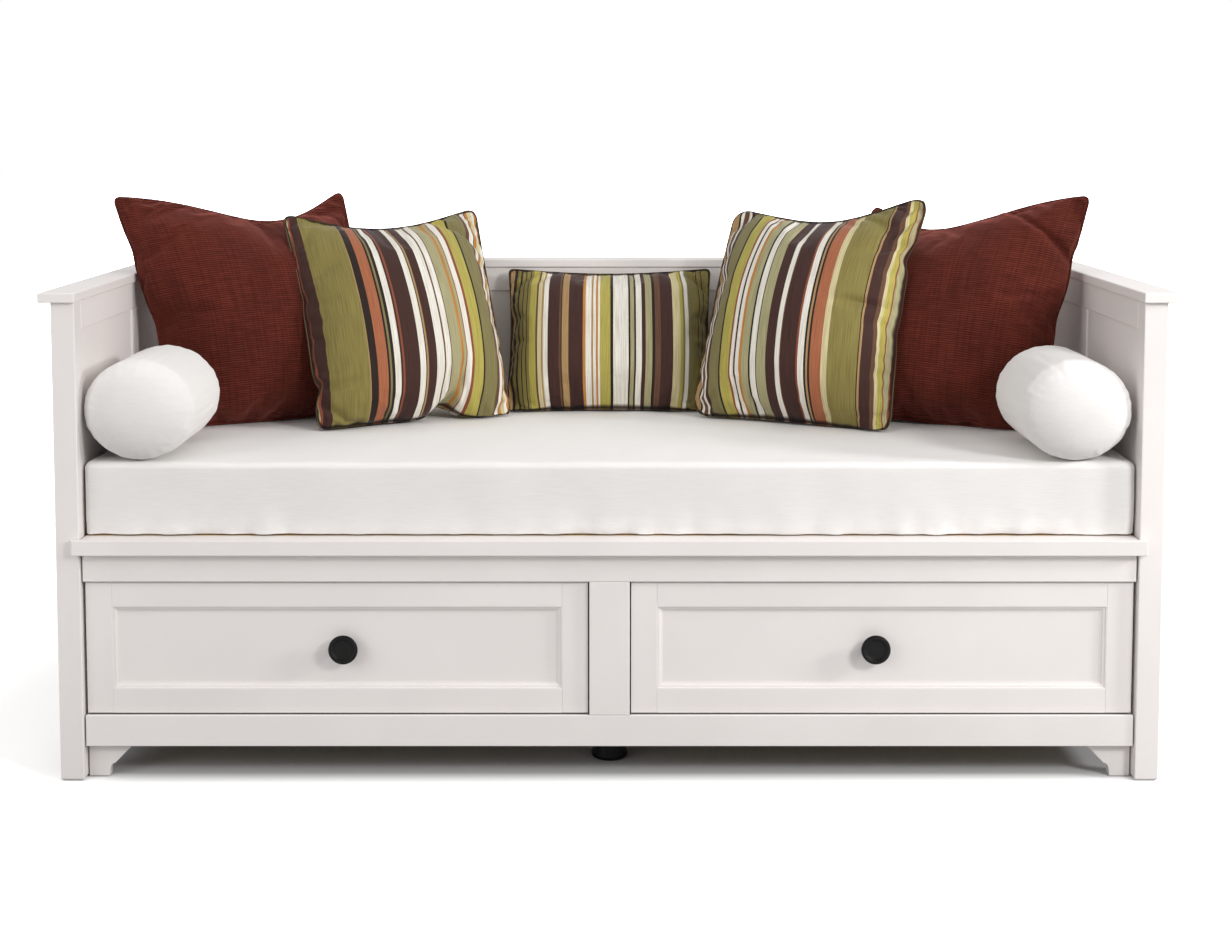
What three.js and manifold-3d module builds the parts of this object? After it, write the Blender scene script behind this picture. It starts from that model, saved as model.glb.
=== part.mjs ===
// Storage daybed of white painted wood. Two framed arms and a framed back stand on four
// square posts round a slatted base. The front is a cabinet with two drawers that pulls
// out on its own feet and draws a second set of slats from between the fixed ones, so
// that the base becomes twice as deep. A mattress, two bolsters and five cushions lie on
// it. Sizes are millimetres: x to the right, y back from the front face of the posts,
// z up from the floor. The finished group is moved along y to centre it on its origin.

import * as THREE from 'three';
import { ConvexGeometry } from 'three/addons/geometries/ConvexGeometry.js';
import { mergeVertices } from 'three/addons/utils/BufferGeometryUtils.js';
import Module from 'manifold-3d';

const wasm = await Module();
wasm.setup();

// Clearances that the whole bed shares
const seatGap = 0.3; // between two pieces that touch
const slideGap = 0.7; // under the mattress, over the slats that slide
const runGap = 4; // between the cabinet and the frame that it slides in
const cutOverrun = 5; // how far a cutter stands out of what it cuts
const easedEdge = 1.5; // chamfer of a painted edge
const hiddenEdge = 0.8; // chamfer of an unpainted edge

// Mattress, the size that the bed is built round
const mattressLength = 2006;
const mattressWidth = 800;
const mattressThickness = 142.5;
const mattressEndGap = 2; // to each arm
const mattressBackGap = 6; // to the back
const mattressInset = 24; // from the front face of the posts
const mattressCorner = 24; // plan radius
const mattressSoftEdge = 16; // rounding of the top and bottom edges

// Frame: posts, caps, rails and panels
const postSize = 45;
const postTop = 920.5;
const postFootChamfer = 5;
const capThickness = 19;
const capOuterReach = 21;
const capInnerReach = 4;
const capFrontReach = 12;
const railThickness = 25;
const topRailHeight = 54.5;
const armBottomRailHeight = 76;
const backBottomRailHeight = 101;
const panelThickness = 12;
const panelRecess = 3; // inner face of a panel behind the face of its rails
const muntinWidth = 50;
const backMuntins = 3;

// Cabinet front that pulls out
const cabinetFloorGap = 66.5; // floor to the underside of the bottom rail
const bottomRailHeight = 60.5;
const drawerOpening = 259.5; // height
const apronHeight = 54;
const ledgeThickness = 29.5;
const ledgeReach = 14; // in front of the posts
const ledgeOverlap = 12; // over each post, measured from the post's inner face
const cabinetSideGap = 3; // to each post
const frontRecess = 6; // face of the rails behind the face of the posts
const frontThickness = 27;
const centreStileWidth = 77;
const boardThickness = 15;
const boardRear = 796;
const centreBoardInset = 2.5; // centre board in from the edge of the centre stile
const rearRailThickness = 18;
const rearRailHeight = 100;
const rearLegWidth = 70;
const rearLegTaper = 25;
const footLift = 1.5; // the sliding feet stay just clear of the floor

// Bracket feet under the bottom rail
const bracketRecess = 25;
const bracketThickness = 20;
const bracketTopWidth = 88;
const bracketKneeWidth = 50;
const bracketKneeHeight = 27;
const bracketToeWidth = 39;

// Round foot under the middle
const centreFootRadius = 36;
const centreFootWaist = 30;
const centreFootHead = 34;
const centreFootSole = 8;
const centreFootFlange = 7;
const centreFootBack = 140;

// Slats and what they lie on
const slatThickness = 18;
const slatWidth = 60;
const slatGap = 10; // between a slat that slides and one that stays
const battenThickness = 19.5;
const rearBearerWidth = 24;
const bearerHeight = 39;
const bearerThickness = 22;
const frontBeamThickness = 40;
const slatLap = 10; // length of a slat that is let into its batten

// Drawers
const drawerGap = 2; // round a drawer front
const drawerRecess = 14; // face of a drawer front behind the face of the posts
const drawerFrontThickness = 18;
const drawerStileWidth = 50;
const drawerRailHeight = 47;
const mouldingWidth = 14;
const drawerPanelRecess = 8;
const drawerPanelThickness = 6;
const drawerPanelLap = 8;
const drawerSideThickness = 12;
const drawerSideHeight = 190;
const drawerBoxDepth = 600;
const drawerBottomThickness = 4;
const drawerBottomRise = 8;
const drawerGroove = 6;
const runnerThickness = 1.5;
const runnerWidth = 15;
const runnerHeight = 30;
const runnerRise = 17; // above the bottom of the drawer opening
const runnerLength = 620;
const runnerSideGap = 4.2; // between a runner and the drawer side

// Knobs
const knobRadius = 28;
const knobNeck = 9;
const knobBase = 12;
const knobProjection = 27;
const knobDish = 3.5;
const knobRim = 9;
const knobEdge = 1.5;
const studRadius = 3;
const studLength = 12;
const studHoleGap = 0.5;
const knobInset = 13; // from the middle of its drawer towards the middle of the bed

// Cushions. A place is measured from the arm or the back to the middle of the bottom
// seam. Yaw turns a cushion to face the middle, lean tips its top back, and twist is the
// turn of its top against its bottom, all in degrees. Tuck is how far a bolster pushes its
// lower corner in, towards the middle of the bed.
const bolsterRadius = 107;
const bolsterHeightShare = 0.93; // of its width, as it sags
const bolsterLength = 325;
const bolsterEnd = 46;
const bolsterPress = 3; // how far it sinks into what it lies on
const leftBolsterPlace = { fromArm: 1, front: -8 };
const rightBolsterPlace = { fromArm: 9, front: -14 };
const cushionPress = 4; // how far its corners sink into the mattress
const growth = 0.6; // how much larger a neighbour is when it cuts a cushion

const plainSize = { width: 552, height: 505, thickness: 190, dip: 44, drawInShare: 0.07 };
const stripedSize = { width: 453, height: 496, thickness: 150, dip: 16, drawInShare: 0.045 };
const lumbarSize = { width: 470, height: 352, thickness: 140, dip: 6, drawInShare: 0.05 };
const leftPlainPlace = { fromArm: 248, fromBack: 346, yaw: 32, lean: 16, twist: 12, tuck: 110 };
const rightPlainPlace = { fromArm: 299, fromBack: 379, yaw: -32, lean: 22, twist: -20, tuck: -110 };
const leftStripedPlace = { fromArm: 591, fromBack: 350, yaw: 27, lean: 26, twist: -4, tuck: 0 };
const rightStripedPlace = { fromArm: 621, fromBack: 366, yaw: -28, lean: 24, twist: -6, tuck: 0 };
const lumbarPlace = { fromMiddle: 0, fromBack: 195, yaw: 0, lean: 28, twist: 0, tuck: 0 };
const pillowPuff = 1.1; // exponent of the crown
const pillowCells = 16;
const roundSides = 24;
const arcSteps = 5; // along a quarter circle
const edgeSteps = 3; // across a soft edge

// Levels and planes that follow from the sizes above
const innerX = mattressLength / 2 + mattressEndGap;
const outerX = innerX + postSize;
const backY = mattressInset + mattressWidth + mattressBackGap;
const rearY = backY + postSize;
const capBottom = postTop + seatGap;
const capTop = capBottom + capThickness;
const capRearY = rearY + capFrontReach;
const railTop = cabinetFloorGap + bottomRailHeight;
const apronBottom = railTop + drawerOpening;
const apronTop = apronBottom + apronHeight;
const ledgeTop = apronTop + seatGap + ledgeThickness;
const slatBottom = ledgeTop - slatThickness;
const bearerTop = slatBottom - seatGap;
const bearerBottom = bearerTop - bearerHeight;
const boardTop = bearerBottom - runGap;
const mattressBottom = ledgeTop + slideGap;
const mattressTop = mattressBottom + mattressThickness;
const slidingSlatEnd = backY - seatGap - rearBearerWidth - slideGap;
const cabinetX = innerX - cabinetSideGap;
const frontBack = frontRecess + frontThickness;
const boardFront = frontBack + seatGap;
const slatPitch = (slatWidth + slatGap) * 2;
const slidingSlats = Math.floor((cabinetX * 2 - slatWidth) / slatPitch) + 1;

const white = { color: 0xe9e5e2, roughness: 0.42, metalness: 0 };
const materials = {
  paint: new THREE.MeshStandardMaterial({ name: 'white_paint', ...white }),
  pine: new THREE.MeshStandardMaterial({ name: 'pine', color: 0xd9b988, roughness: 0.6 }),
  plywood: new THREE.MeshStandardMaterial({ name: 'plywood', color: 0xd2b58c, roughness: 0.6 }),
  steel: new THREE.MeshStandardMaterial({ name: 'steel', color: 0xb9bcbe, roughness: 0.35, metalness: 1 }),
  knob: new THREE.MeshStandardMaterial({ name: 'black_knob', color: 0x1a1918, roughness: 0.4 }),
  plastic: new THREE.MeshStandardMaterial({ name: 'black_plastic', color: 0x0d0d0d, roughness: 0.5 }),
  linen: new THREE.MeshStandardMaterial({ name: 'white_linen', color: 0xf0eeec, roughness: 0.9 }),
  rust: new THREE.MeshStandardMaterial({ name: 'rust_fabric', color: 0x6e2f26, roughness: 0.9 }),
  stripe: new THREE.MeshStandardMaterial({ name: 'striped_fabric', color: 0x8a8746, roughness: 0.8 }),
};

const daybed = new THREE.Group();
daybed.position.y = (ledgeReach - capRearY) / 2;

// Adds a piece. Its geometry is given in the bed's own frame and is recentred on itself,
// so that the mesh carries its place.
function place(name, geometry, material) {
  geometry.computeBoundingBox();
  const centre = geometry.boundingBox.getCenter(new THREE.Vector3());
  geometry.translate(-centre.x, -centre.y, -centre.z);
  const mesh = new THREE.Mesh(geometry, material);
  mesh.name = name;
  mesh.position.copy(centre);
  daybed.add(mesh);
}

// A rectangular block between two limits on each axis, with its edges chamfered.
function block([x0, x1], [y0, y1], [z0, z1], edge = 0) {
  const middle = new THREE.Vector3((x0 + x1) / 2, (y0 + y1) / 2, (z0 + z1) / 2);
  const half = new THREE.Vector3((x1 - x0) / 2, (y1 - y0) / 2, (z1 - z0) / 2);
  if (edge === 0) {
    const box = new THREE.BoxGeometry(half.x * 2, half.y * 2, half.z * 2);
    return box.translate(middle.x, middle.y, middle.z);
  }
  const corners = [];
  for (const sx of [-1, 1]) {
    for (const sy of [-1, 1]) {
      for (const sz of [-1, 1]) {
        const corner = new THREE.Vector3(sx * half.x, sy * half.y, sz * half.z);
        const cut = new THREE.Vector3(sx * edge, sy * edge, sz * edge);
        corners.push(new THREE.Vector3(corner.x, corner.y - cut.y, corner.z - cut.z));
        corners.push(new THREE.Vector3(corner.x - cut.x, corner.y, corner.z - cut.z));
        corners.push(new THREE.Vector3(corner.x - cut.x, corner.y - cut.y, corner.z));
      }
    }
  }
  return new ConvexGeometry(corners).translate(middle.x, middle.y, middle.z);
}

// The limits of a span on one side: side is -1 for the left and 1 for the right.
const mirror = (side, a, b) => [Math.min(side * a, side * b), Math.max(side * a, side * b)];

// A geometry as a solid that can be cut and joined, and back again.
function toSolid(geometry) {
  const bare = geometry.clone();
  bare.deleteAttribute('normal');
  bare.deleteAttribute('uv');
  const merged = mergeVertices(bare);
  return new wasm.Manifold(new wasm.Mesh({
    numProp: 3,
    vertProperties: Float32Array.from(merged.attributes.position.array),
    triVerts: Uint32Array.from(merged.index.array),
  }));
}

function toGeometry(solid) {
  const mesh = solid.getMesh();
  const geometry = new THREE.BufferGeometry();
  geometry.setAttribute('position', new THREE.BufferAttribute(mesh.vertProperties, 3));
  geometry.setIndex(new THREE.BufferAttribute(mesh.triVerts, 1));
  geometry.computeVertexNormals();
  return geometry;
}

function cut(geometry, cutters) {
  return toGeometry(cutters.reduce((left, tool) => left.subtract(toSolid(tool)), toSolid(geometry)));
}

function join(geometries) {
  const [first, ...others] = geometries.map(toSolid);
  return toGeometry(others.reduce((sum, next) => sum.add(next), first));
}

// An outline in two axes pushed along the third. The basis names the axes that the
// outline's own x and y and the push run along.
function prism(points, depth, basis) {
  const outline = new THREE.Shape(points.map(([a, b]) => new THREE.Vector2(a, b)));
  const body = new THREE.ExtrudeGeometry(outline, { depth, bevelEnabled: false });
  return body.applyMatrix4(new THREE.Matrix4().makeBasis(...basis));
}

const axisX = new THREE.Vector3(1, 0, 0);
const axisY = new THREE.Vector3(0, 1, 0);
const axisZ = new THREE.Vector3(0, 0, 1);

// Posts: square, with the foot chamfered all round so that it doesn't splinter.
function post(x, y) {
  const [x0, x1] = x;
  const [y0, y1] = y;
  const levels = [
    [0, postFootChamfer],
    [postFootChamfer, easedEdge],
    [postTop - easedEdge, easedEdge],
    [postTop, easedEdge * 2],
  ];
  const corners = [];
  for (const [z, inset] of levels) {
    const clip = Math.max(easedEdge, inset - easedEdge);
    for (const [px, py, sx, sy] of [[x0, y0, 1, 1], [x1, y0, -1, 1], [x1, y1, -1, -1], [x0, y1, 1, -1]]) {
      corners.push(new THREE.Vector3(px + sx * inset, py + sy * (inset - clip), z));
      corners.push(new THREE.Vector3(px + sx * (inset - clip), py + sy * inset, z));
    }
  }
  return new ConvexGeometry(corners);
}

// Arms: two posts, a top and a bottom rail, a panel with a muntin, and a cap over all.
for (const [name, side] of [['left', -1], ['right', 1]]) {
  const postX = mirror(side, innerX, outerX);
  const railX = mirror(side, innerX, innerX + railThickness);
  const railY = [postSize + seatGap, backY - seatGap];
  place(`${name}_front_post`, post(postX, [0, postSize]), materials.paint);
  place(`${name}_rear_post`, post(postX, [backY, rearY]), materials.paint);
  const topRail = block(railX, railY, [postTop - topRailHeight, postTop], easedEdge);
  place(`${name}_arm_top_rail`, topRail, materials.paint);
  const lowRailTop = cabinetFloorGap + armBottomRailHeight;
  const bottomRail = block(railX, railY, [cabinetFloorGap, lowRailTop], easedEdge);
  place(`${name}_arm_bottom_rail`, bottomRail, materials.paint);
  const panelX = mirror(side, innerX + panelRecess, innerX + panelRecess + panelThickness);
  const panelZ = [lowRailTop + seatGap, postTop - topRailHeight - seatGap];
  const middle = (postSize + backY) / 2;
  const muntinY = [middle - muntinWidth / 2, middle + muntinWidth / 2];
  const panel = [block(panelX, railY, panelZ), block(railX, muntinY, panelZ)];
  place(`${name}_arm_panel`, join(panel), materials.paint);
  const capX = mirror(side, innerX - capInnerReach, outerX + capOuterReach);
  const cap = block(capX, [-capFrontReach, capRearY], [capBottom, capTop], easedEdge);
  place(`${name}_arm_cap`, cap, materials.paint);
}

// Back: rails and a panel with muntins between the rear posts, and a cap between the
// caps of the arms.
const backX = [-innerX + seatGap, innerX - seatGap];
const backRailY = [backY, backY + railThickness];
const backTopZ = [postTop - topRailHeight, postTop];
place('back_top_rail', block(backX, backRailY, backTopZ, easedEdge), materials.paint);
const backBottomZ = [cabinetFloorGap, cabinetFloorGap + backBottomRailHeight];
place('back_bottom_rail', block(backX, backRailY, backBottomZ, easedEdge), materials.paint);
const backPanelZ = [backBottomZ[1] + seatGap, backTopZ[0] - seatGap];
const backPanelY = [backY + panelRecess, backY + panelRecess + panelThickness];
const backPieces = [block(backX, backPanelY, backPanelZ)];
const backBay = (backX[1] - backX[0]) / (backMuntins + 1);
for (let k = 1; k <= backMuntins; k += 1) {
  const x = backX[0] + backBay * k;
  backPieces.push(block([x - muntinWidth / 2, x + muntinWidth / 2], backRailY, backPanelZ));
}
place('back_panel', join(backPieces), materials.paint);
const backCapEnd = innerX - capInnerReach - seatGap;
const backCapY = [backY - capInnerReach, capRearY];
const backCap = block([-backCapEnd, backCapEnd], backCapY, [capBottom, capTop], easedEdge);
place('back_cap', backCap, materials.paint);

// Base that stays: a bearer along each arm and the back, a beam across the front, and
// slats from the rear batten to the beam.
const bearerZ = [bearerBottom, bearerTop];
const bearerInnerX = innerX - seatGap - bearerThickness;
const beamFront = boardFront + battenThickness + slideGap;
for (const [name, side] of [['left', -1], ['right', 1]]) {
  const x = mirror(side, bearerInnerX, innerX - seatGap);
  const bearer = block(x, [beamFront, backY - seatGap], bearerZ, hiddenEdge);
  place(`${name}_side_bearer`, bearer, materials.pine);
}
const betweenBearers = [-bearerInnerX + seatGap, bearerInnerX - seatGap];
const beamY = [beamFront, beamFront + frontBeamThickness];
place('front_beam', block(betweenBearers, beamY, bearerZ, hiddenEdge), materials.pine);
const rearBearerY = [slidingSlatEnd + slideGap, backY - seatGap];
place('rear_bearer', block(betweenBearers, rearBearerY, bearerZ, hiddenEdge), materials.pine);

const slatZ = [slatBottom, ledgeTop];
const slatX = (x) => [x - slatWidth / 2, x + slatWidth / 2];
const fixedPieces = [block(betweenBearers, rearBearerY, slatZ)];
for (let k = 1; k < slidingSlats; k += 1) {
  const x = slatX((k - slidingSlats / 2) * slatPitch);
  fixedPieces.push(block(x, [beamFront + slideGap, rearBearerY[0] + slatLap], slatZ));
}
place('fixed_slats', join(fixedPieces), materials.pine);

// Cabinet front: the ledge runs past the posts in front of them, and the rails and the
// centre stile under it frame the two drawer openings.
const ledgeX = innerX + ledgeOverlap;
const earBack = -seatGap - slideGap;
const ledgeOutline = [
  [-ledgeX, -ledgeReach], [ledgeX, -ledgeReach], [ledgeX, earBack], [cabinetX, earBack],
  [cabinetX, frontBack], [-cabinetX, frontBack], [-cabinetX, earBack], [-ledgeX, earBack],
];
const ledge = prism(ledgeOutline, ledgeThickness, [axisX, axisY, axisZ]);
place('pullout_ledge', ledge.translate(0, 0, apronTop + seatGap), materials.paint);
const fullX = [-cabinetX, cabinetX];
const frontY = [frontRecess, frontBack];
place('pullout_apron', block(fullX, frontY, [apronBottom, apronTop], easedEdge), materials.paint);
const lowRail = block(fullX, frontY, [cabinetFloorGap, railTop], easedEdge);
place('pullout_bottom_rail', lowRail, materials.paint);
const stileX = [-centreStileWidth / 2, centreStileWidth / 2];
const stileZ = [railTop + seatGap, apronBottom - seatGap];
place('pullout_centre_stile', block(stileX, frontY, stileZ, easedEdge), materials.paint);

// Cabinet carcase: end boards with a leg at the rear, two centre boards and a rear rail.
const endBoardInner = cabinetX - boardThickness;
const rearRailY = [boardRear - rearRailThickness, boardRear];
const endOutline = [
  [boardFront, cabinetFloorGap], [boardRear - rearLegWidth, cabinetFloorGap],
  [boardRear - rearLegWidth + rearLegTaper, footLift], [boardRear, footLift],
  [boardRear, boardTop], [boardFront, boardTop],
];
const centreOuter = centreStileWidth / 2 - centreBoardInset;
const centreBoardY = [boardFront, rearRailY[0] - seatGap];
for (const [name, side] of [['left', -1], ['right', 1]]) {
  const board = prism(endOutline, boardThickness, [axisY, axisZ, axisX]);
  board.translate(side > 0 ? endBoardInner : -cabinetX, 0, 0);
  place(`${name}_end_board`, board, materials.paint);
  const centreX = mirror(side, centreOuter - boardThickness, centreOuter);
  const centreBoard = block(centreX, centreBoardY, [cabinetFloorGap, boardTop], hiddenEdge);
  place(`${name}_centre_board`, centreBoard, materials.paint);
}
const rearRailX = [-endBoardInner + seatGap, endBoardInner - seatGap];
const rearRailZ = [cabinetFloorGap, cabinetFloorGap + rearRailHeight];
place('pullout_rear_rail', block(rearRailX, rearRailY, rearRailZ, hiddenEdge), materials.pine);

// Slats that slide: their batten is fixed behind the apron and stands on the boards.
const battenY = [boardFront, boardFront + battenThickness];
const slidingPieces = [block(fullX, battenY, [boardTop + seatGap, ledgeTop])];
for (let k = 0; k < slidingSlats; k += 1) {
  const x = slatX((k - (slidingSlats - 1) / 2) * slatPitch);
  slidingPieces.push(block(x, [battenY[1] - slatLap, slidingSlatEnd], slatZ));
}
place('sliding_slats', join(slidingPieces), materials.pine);

// Bracket feet: a straight slope from the rail to a knee, then a hollow curve to the toe.
function bracketFoot(side) {
  const top = cabinetFloorGap - seatGap;
  const outer = side * cabinetX;
  const inner = (width) => side * (cabinetX - width);
  const outline = new THREE.Shape();
  outline.moveTo(outer, footLift);
  outline.lineTo(outer, top);
  outline.lineTo(inner(bracketTopWidth), top);
  outline.lineTo(inner(bracketKneeWidth), bracketKneeHeight);
  outline.quadraticCurveTo(inner(bracketToeWidth), bracketKneeHeight, inner(bracketToeWidth), footLift);
  const foot = new THREE.ExtrudeGeometry(outline, {
    depth: bracketThickness, bevelEnabled: false, curveSegments: arcSteps,
  });
  foot.applyMatrix4(new THREE.Matrix4().makeBasis(axisX, axisZ, axisY.clone().negate()));
  return foot.translate(0, bracketRecess + bracketThickness, 0);
}
place('left_bracket_foot', bracketFoot(-1), materials.paint);
place('right_bracket_foot', bracketFoot(1), materials.paint);

// Round foot: turned, with a sole, a waist and a flange under the centre boards. A turned
// shape is worked out about y, so it is stood up along z.
function turned(profile) {
  return new THREE.LatheGeometry(profile.map(([r, h]) => new THREE.Vector2(r, h)), roundSides);
}
const footTop = cabinetFloorGap - seatGap;
const centreFoot = turned([
  [0, footLift], [centreFootRadius, footLift], [centreFootRadius, footLift + centreFootSole],
  [centreFootWaist, footLift + centreFootSole * 2], [centreFootWaist, footTop - centreFootFlange * 2],
  [centreFootHead, footTop - centreFootFlange], [centreFootHead, footTop], [0, footTop],
]);
centreFoot.rotateX(Math.PI / 2);
place('centre_foot', centreFoot.translate(0, centreFootBack, 0), materials.plastic);

// A knob with its stud, turned about y with the stud pointing back.
function knob(x, faceY, z) {
  const flare = knobProjection / 3;
  const lip = knobEdge * 2;
  const back = knobProjection - flare + lip;
  const dish = knobRadius - knobRim;
  const out = [
    [0, knobProjection - knobDish], [dish - knobEdge, knobProjection - knobDish], [dish, knobProjection],
    [knobRadius - knobEdge, knobProjection], [knobRadius, knobProjection - knobEdge],
    [knobRadius, back], [knobNeck + knobEdge, flare], [knobNeck, flare - knobEdge],
    [knobBase, 0], [studRadius, 0], [studRadius, -studLength], [0, -studLength],
  ];
  const body = turned(out.map(([r, h]) => [r, -h]));
  return body.translate(x, faceY - seatGap, z);
}

// Drawers: a glued front frame with a moulded inner edge, a panel let in from behind, a
// knob, and a box of two sides, a back and a bottom. The sides ride on steel runners.
const drawerInnerX = centreStileWidth / 2 + drawerGap;
const drawerOuterX = cabinetX - drawerGap;
const drawerZ = [railTop + drawerGap, apronBottom - drawerGap];
const drawerFaceY = drawerRecess;
const drawerBackY = drawerRecess + drawerFrontThickness;
const panelFaceY = drawerFaceY + drawerPanelRecess;
const boxFrontY = drawerBackY + seatGap;
const boxRearY = drawerBackY + drawerBoxDepth;
const runnerTop = railTop + runnerRise;
const sideBottom = runnerTop + runnerThickness + seatGap;
const sideTop = sideBottom + drawerSideHeight;
const boxBottomZ = sideBottom + drawerBottomRise;
const runnerY = [boardFront, boardFront + runnerLength];

// The four-sided hole of a frame, wider at the front than at the back by the moulding.
function taperedHole(side) {
  const corners = [];
  const faces = [
    [drawerFaceY - cutOverrun * drawerPanelRecess / mouldingWidth, -cutOverrun],
    [panelFaceY, mouldingWidth],
    [drawerBackY + cutOverrun, mouldingWidth],
  ];
  for (const [y, inset] of faces) {
    const x = mirror(side, drawerInnerX + drawerStileWidth + inset, drawerOuterX - drawerStileWidth - inset);
    for (const cornerX of x) {
      corners.push(new THREE.Vector3(cornerX, y, drawerZ[0] + drawerRailHeight + inset));
      corners.push(new THREE.Vector3(cornerX, y, drawerZ[1] - drawerRailHeight - inset));
    }
  }
  return new ConvexGeometry(corners);
}

for (const [name, side] of [['left', -1], ['right', 1]]) {
  const frontX = mirror(side, drawerInnerX, drawerOuterX);
  const frame = block(frontX, [drawerFaceY, drawerBackY], drawerZ, easedEdge);
  const lapInset = mouldingWidth - drawerPanelLap;
  const lapX = [frontX[0] + drawerStileWidth + lapInset, frontX[1] - drawerStileWidth - lapInset];
  const lapZ = [drawerZ[0] + drawerRailHeight + lapInset, drawerZ[1] - drawerRailHeight - lapInset];
  const rebate = block(lapX, [panelFaceY, drawerBackY + cutOverrun], lapZ);
  const frontFrame = cut(frame, [taperedHole(side), rebate]);
  place(`${name}_drawer_front_frame`, frontFrame, materials.paint);

  const knobX = (frontX[0] + frontX[1]) / 2 - side * knobInset;
  const knobZ = (drawerZ[0] + drawerZ[1]) / 2;
  const panelY = [panelFaceY + seatGap, panelFaceY + seatGap + drawerPanelThickness];
  const insideX = [lapX[0] + seatGap, lapX[1] - seatGap];
  const insideZ = [lapZ[0] + seatGap, lapZ[1] - seatGap];
  const holeRadius = studRadius + studHoleGap;
  const holeLength = drawerPanelThickness + cutOverrun * 2;
  const studHole = new THREE.CylinderGeometry(holeRadius, holeRadius, holeLength, roundSides / 2);
  studHole.translate(knobX, panelY[0] + drawerPanelThickness / 2, knobZ);
  const panel = cut(block(insideX, panelY, insideZ), [studHole]);
  place(`${name}_drawer_front_panel`, panel, materials.paint);
  place(`${name}_drawer_knob`, knob(knobX, panelY[0], knobZ), materials.knob);

  // Runners are angles: an upright leg on the board and a ledge under the drawer side.
  const innerLeg = centreOuter + seatGap;
  const outerLeg = endBoardInner - seatGap;
  const runners = [['inner', innerLeg, 1], ['outer', outerLeg, -1]];
  for (const [which, root, way] of runners) {
    const legX = mirror(side, root, root + way * runnerThickness);
    const shelfX = mirror(side, root, root + way * runnerWidth);
    const leg = block(legX, runnerY, [runnerTop, runnerTop + runnerHeight]);
    const shelf = block(shelfX, runnerY, [runnerTop, runnerTop + runnerThickness]);
    place(`${name}_${which}_runner`, join([leg, shelf]), materials.steel);
  }

  const innerFace = innerLeg + runnerThickness + runnerSideGap;
  const outerFace = outerLeg - runnerThickness - runnerSideGap;
  const grooveZ = [boxBottomZ, boxBottomZ + drawerBottomThickness + seatGap * 2];
  const boxY = [boxFrontY, boxRearY];
  const grooveY = [boxFrontY - cutOverrun, boxRearY + cutOverrun];
  const sideZ = [sideBottom, sideTop];
  for (const [which, face, way] of [['inner', innerFace, 1], ['outer', outerFace, -1]]) {
    const plank = block(mirror(side, face, face + way * drawerSideThickness), boxY, sideZ, hiddenEdge);
    const inward = face + way * drawerSideThickness;
    const grooveX = mirror(side, inward - way * drawerGroove, inward + way * cutOverrun);
    const groove = block(grooveX, grooveY, grooveZ);
    place(`${name}_drawer_${which}_side`, cut(plank, [groove]), materials.pine);
  }
  const betweenSides = mirror(
    side, innerFace + drawerSideThickness + seatGap, outerFace - drawerSideThickness - seatGap,
  );
  const backPlankZ = [grooveZ[1] + seatGap, sideTop];
  const plankY = [boxRearY - drawerSideThickness, boxRearY];
  place(`${name}_drawer_back`, block(betweenSides, plankY, backPlankZ, hiddenEdge), materials.pine);
  const tongue = drawerGroove - seatGap * 2;
  const sheetX = [betweenSides[0] - tongue, betweenSides[1] + tongue];
  const sheetZ = [grooveZ[0] + seatGap, grooveZ[0] + seatGap + drawerBottomThickness];
  place(`${name}_drawer_bottom`, block(sheetX, boxY, sheetZ), materials.plywood);
}

// Mattress: a slab with rounded corners and soft edges.
function softSlab(length, width, height) {
  const x = length / 2;
  const y = width / 2;
  const r = mattressCorner;
  const outline = new THREE.Shape();
  outline.moveTo(-x + r, -y);
  outline.lineTo(x - r, -y);
  outline.absarc(x - r, -y + r, r, -Math.PI / 2, 0);
  outline.lineTo(x, y - r);
  outline.absarc(x - r, y - r, r, 0, Math.PI / 2);
  outline.lineTo(-x + r, y);
  outline.absarc(-x + r, y - r, r, Math.PI / 2, Math.PI);
  outline.lineTo(-x, -y + r);
  outline.absarc(-x + r, -y + r, r, Math.PI, Math.PI * 3 / 2);
  const slab = new THREE.ExtrudeGeometry(outline, {
    depth: height - mattressSoftEdge * 2, curveSegments: arcSteps,
    bevelThickness: mattressSoftEdge, bevelSize: mattressSoftEdge,
    bevelOffset: -mattressSoftEdge, bevelSegments: edgeSteps,
  });
  return slab.translate(0, 0, mattressSoftEdge);
}
const mattressY = mattressInset + mattressWidth / 2;
const mattress = softSlab(mattressLength, mattressWidth, mattressThickness);
place('mattress', mattress.translate(0, mattressY, mattressBottom), materials.linen);

// What soft pieces are cut back from, a seat gap clear of the real faces.
const wide = outerX + capOuterReach + cutOverrun;
const roomBelow = block([-wide, wide], [-rearY, rearY], [0, mattressTop + seatGap]);
const roomWalls = [roomBelow];
for (const side of [-1, 1]) {
  const wallX = mirror(side, innerX - seatGap, wide);
  roomWalls.push(block(wallX, [-capFrontReach, capRearY], [0, capTop + seatGap]));
  const capX = mirror(side, innerX - capInnerReach - seatGap, wide);
  const capZ = [capBottom - seatGap, capTop + seatGap];
  roomWalls.push(block(capX, [-capFrontReach - seatGap, capRearY + seatGap], capZ));
}
roomWalls.push(block([-wide, wide], [backY - seatGap, capRearY], [0, capTop + seatGap]));
const backCapReach = [backY - capInnerReach - seatGap, capRearY];
roomWalls.push(block([-wide, wide], backCapReach, [capBottom - seatGap, capTop + seatGap]));

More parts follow.
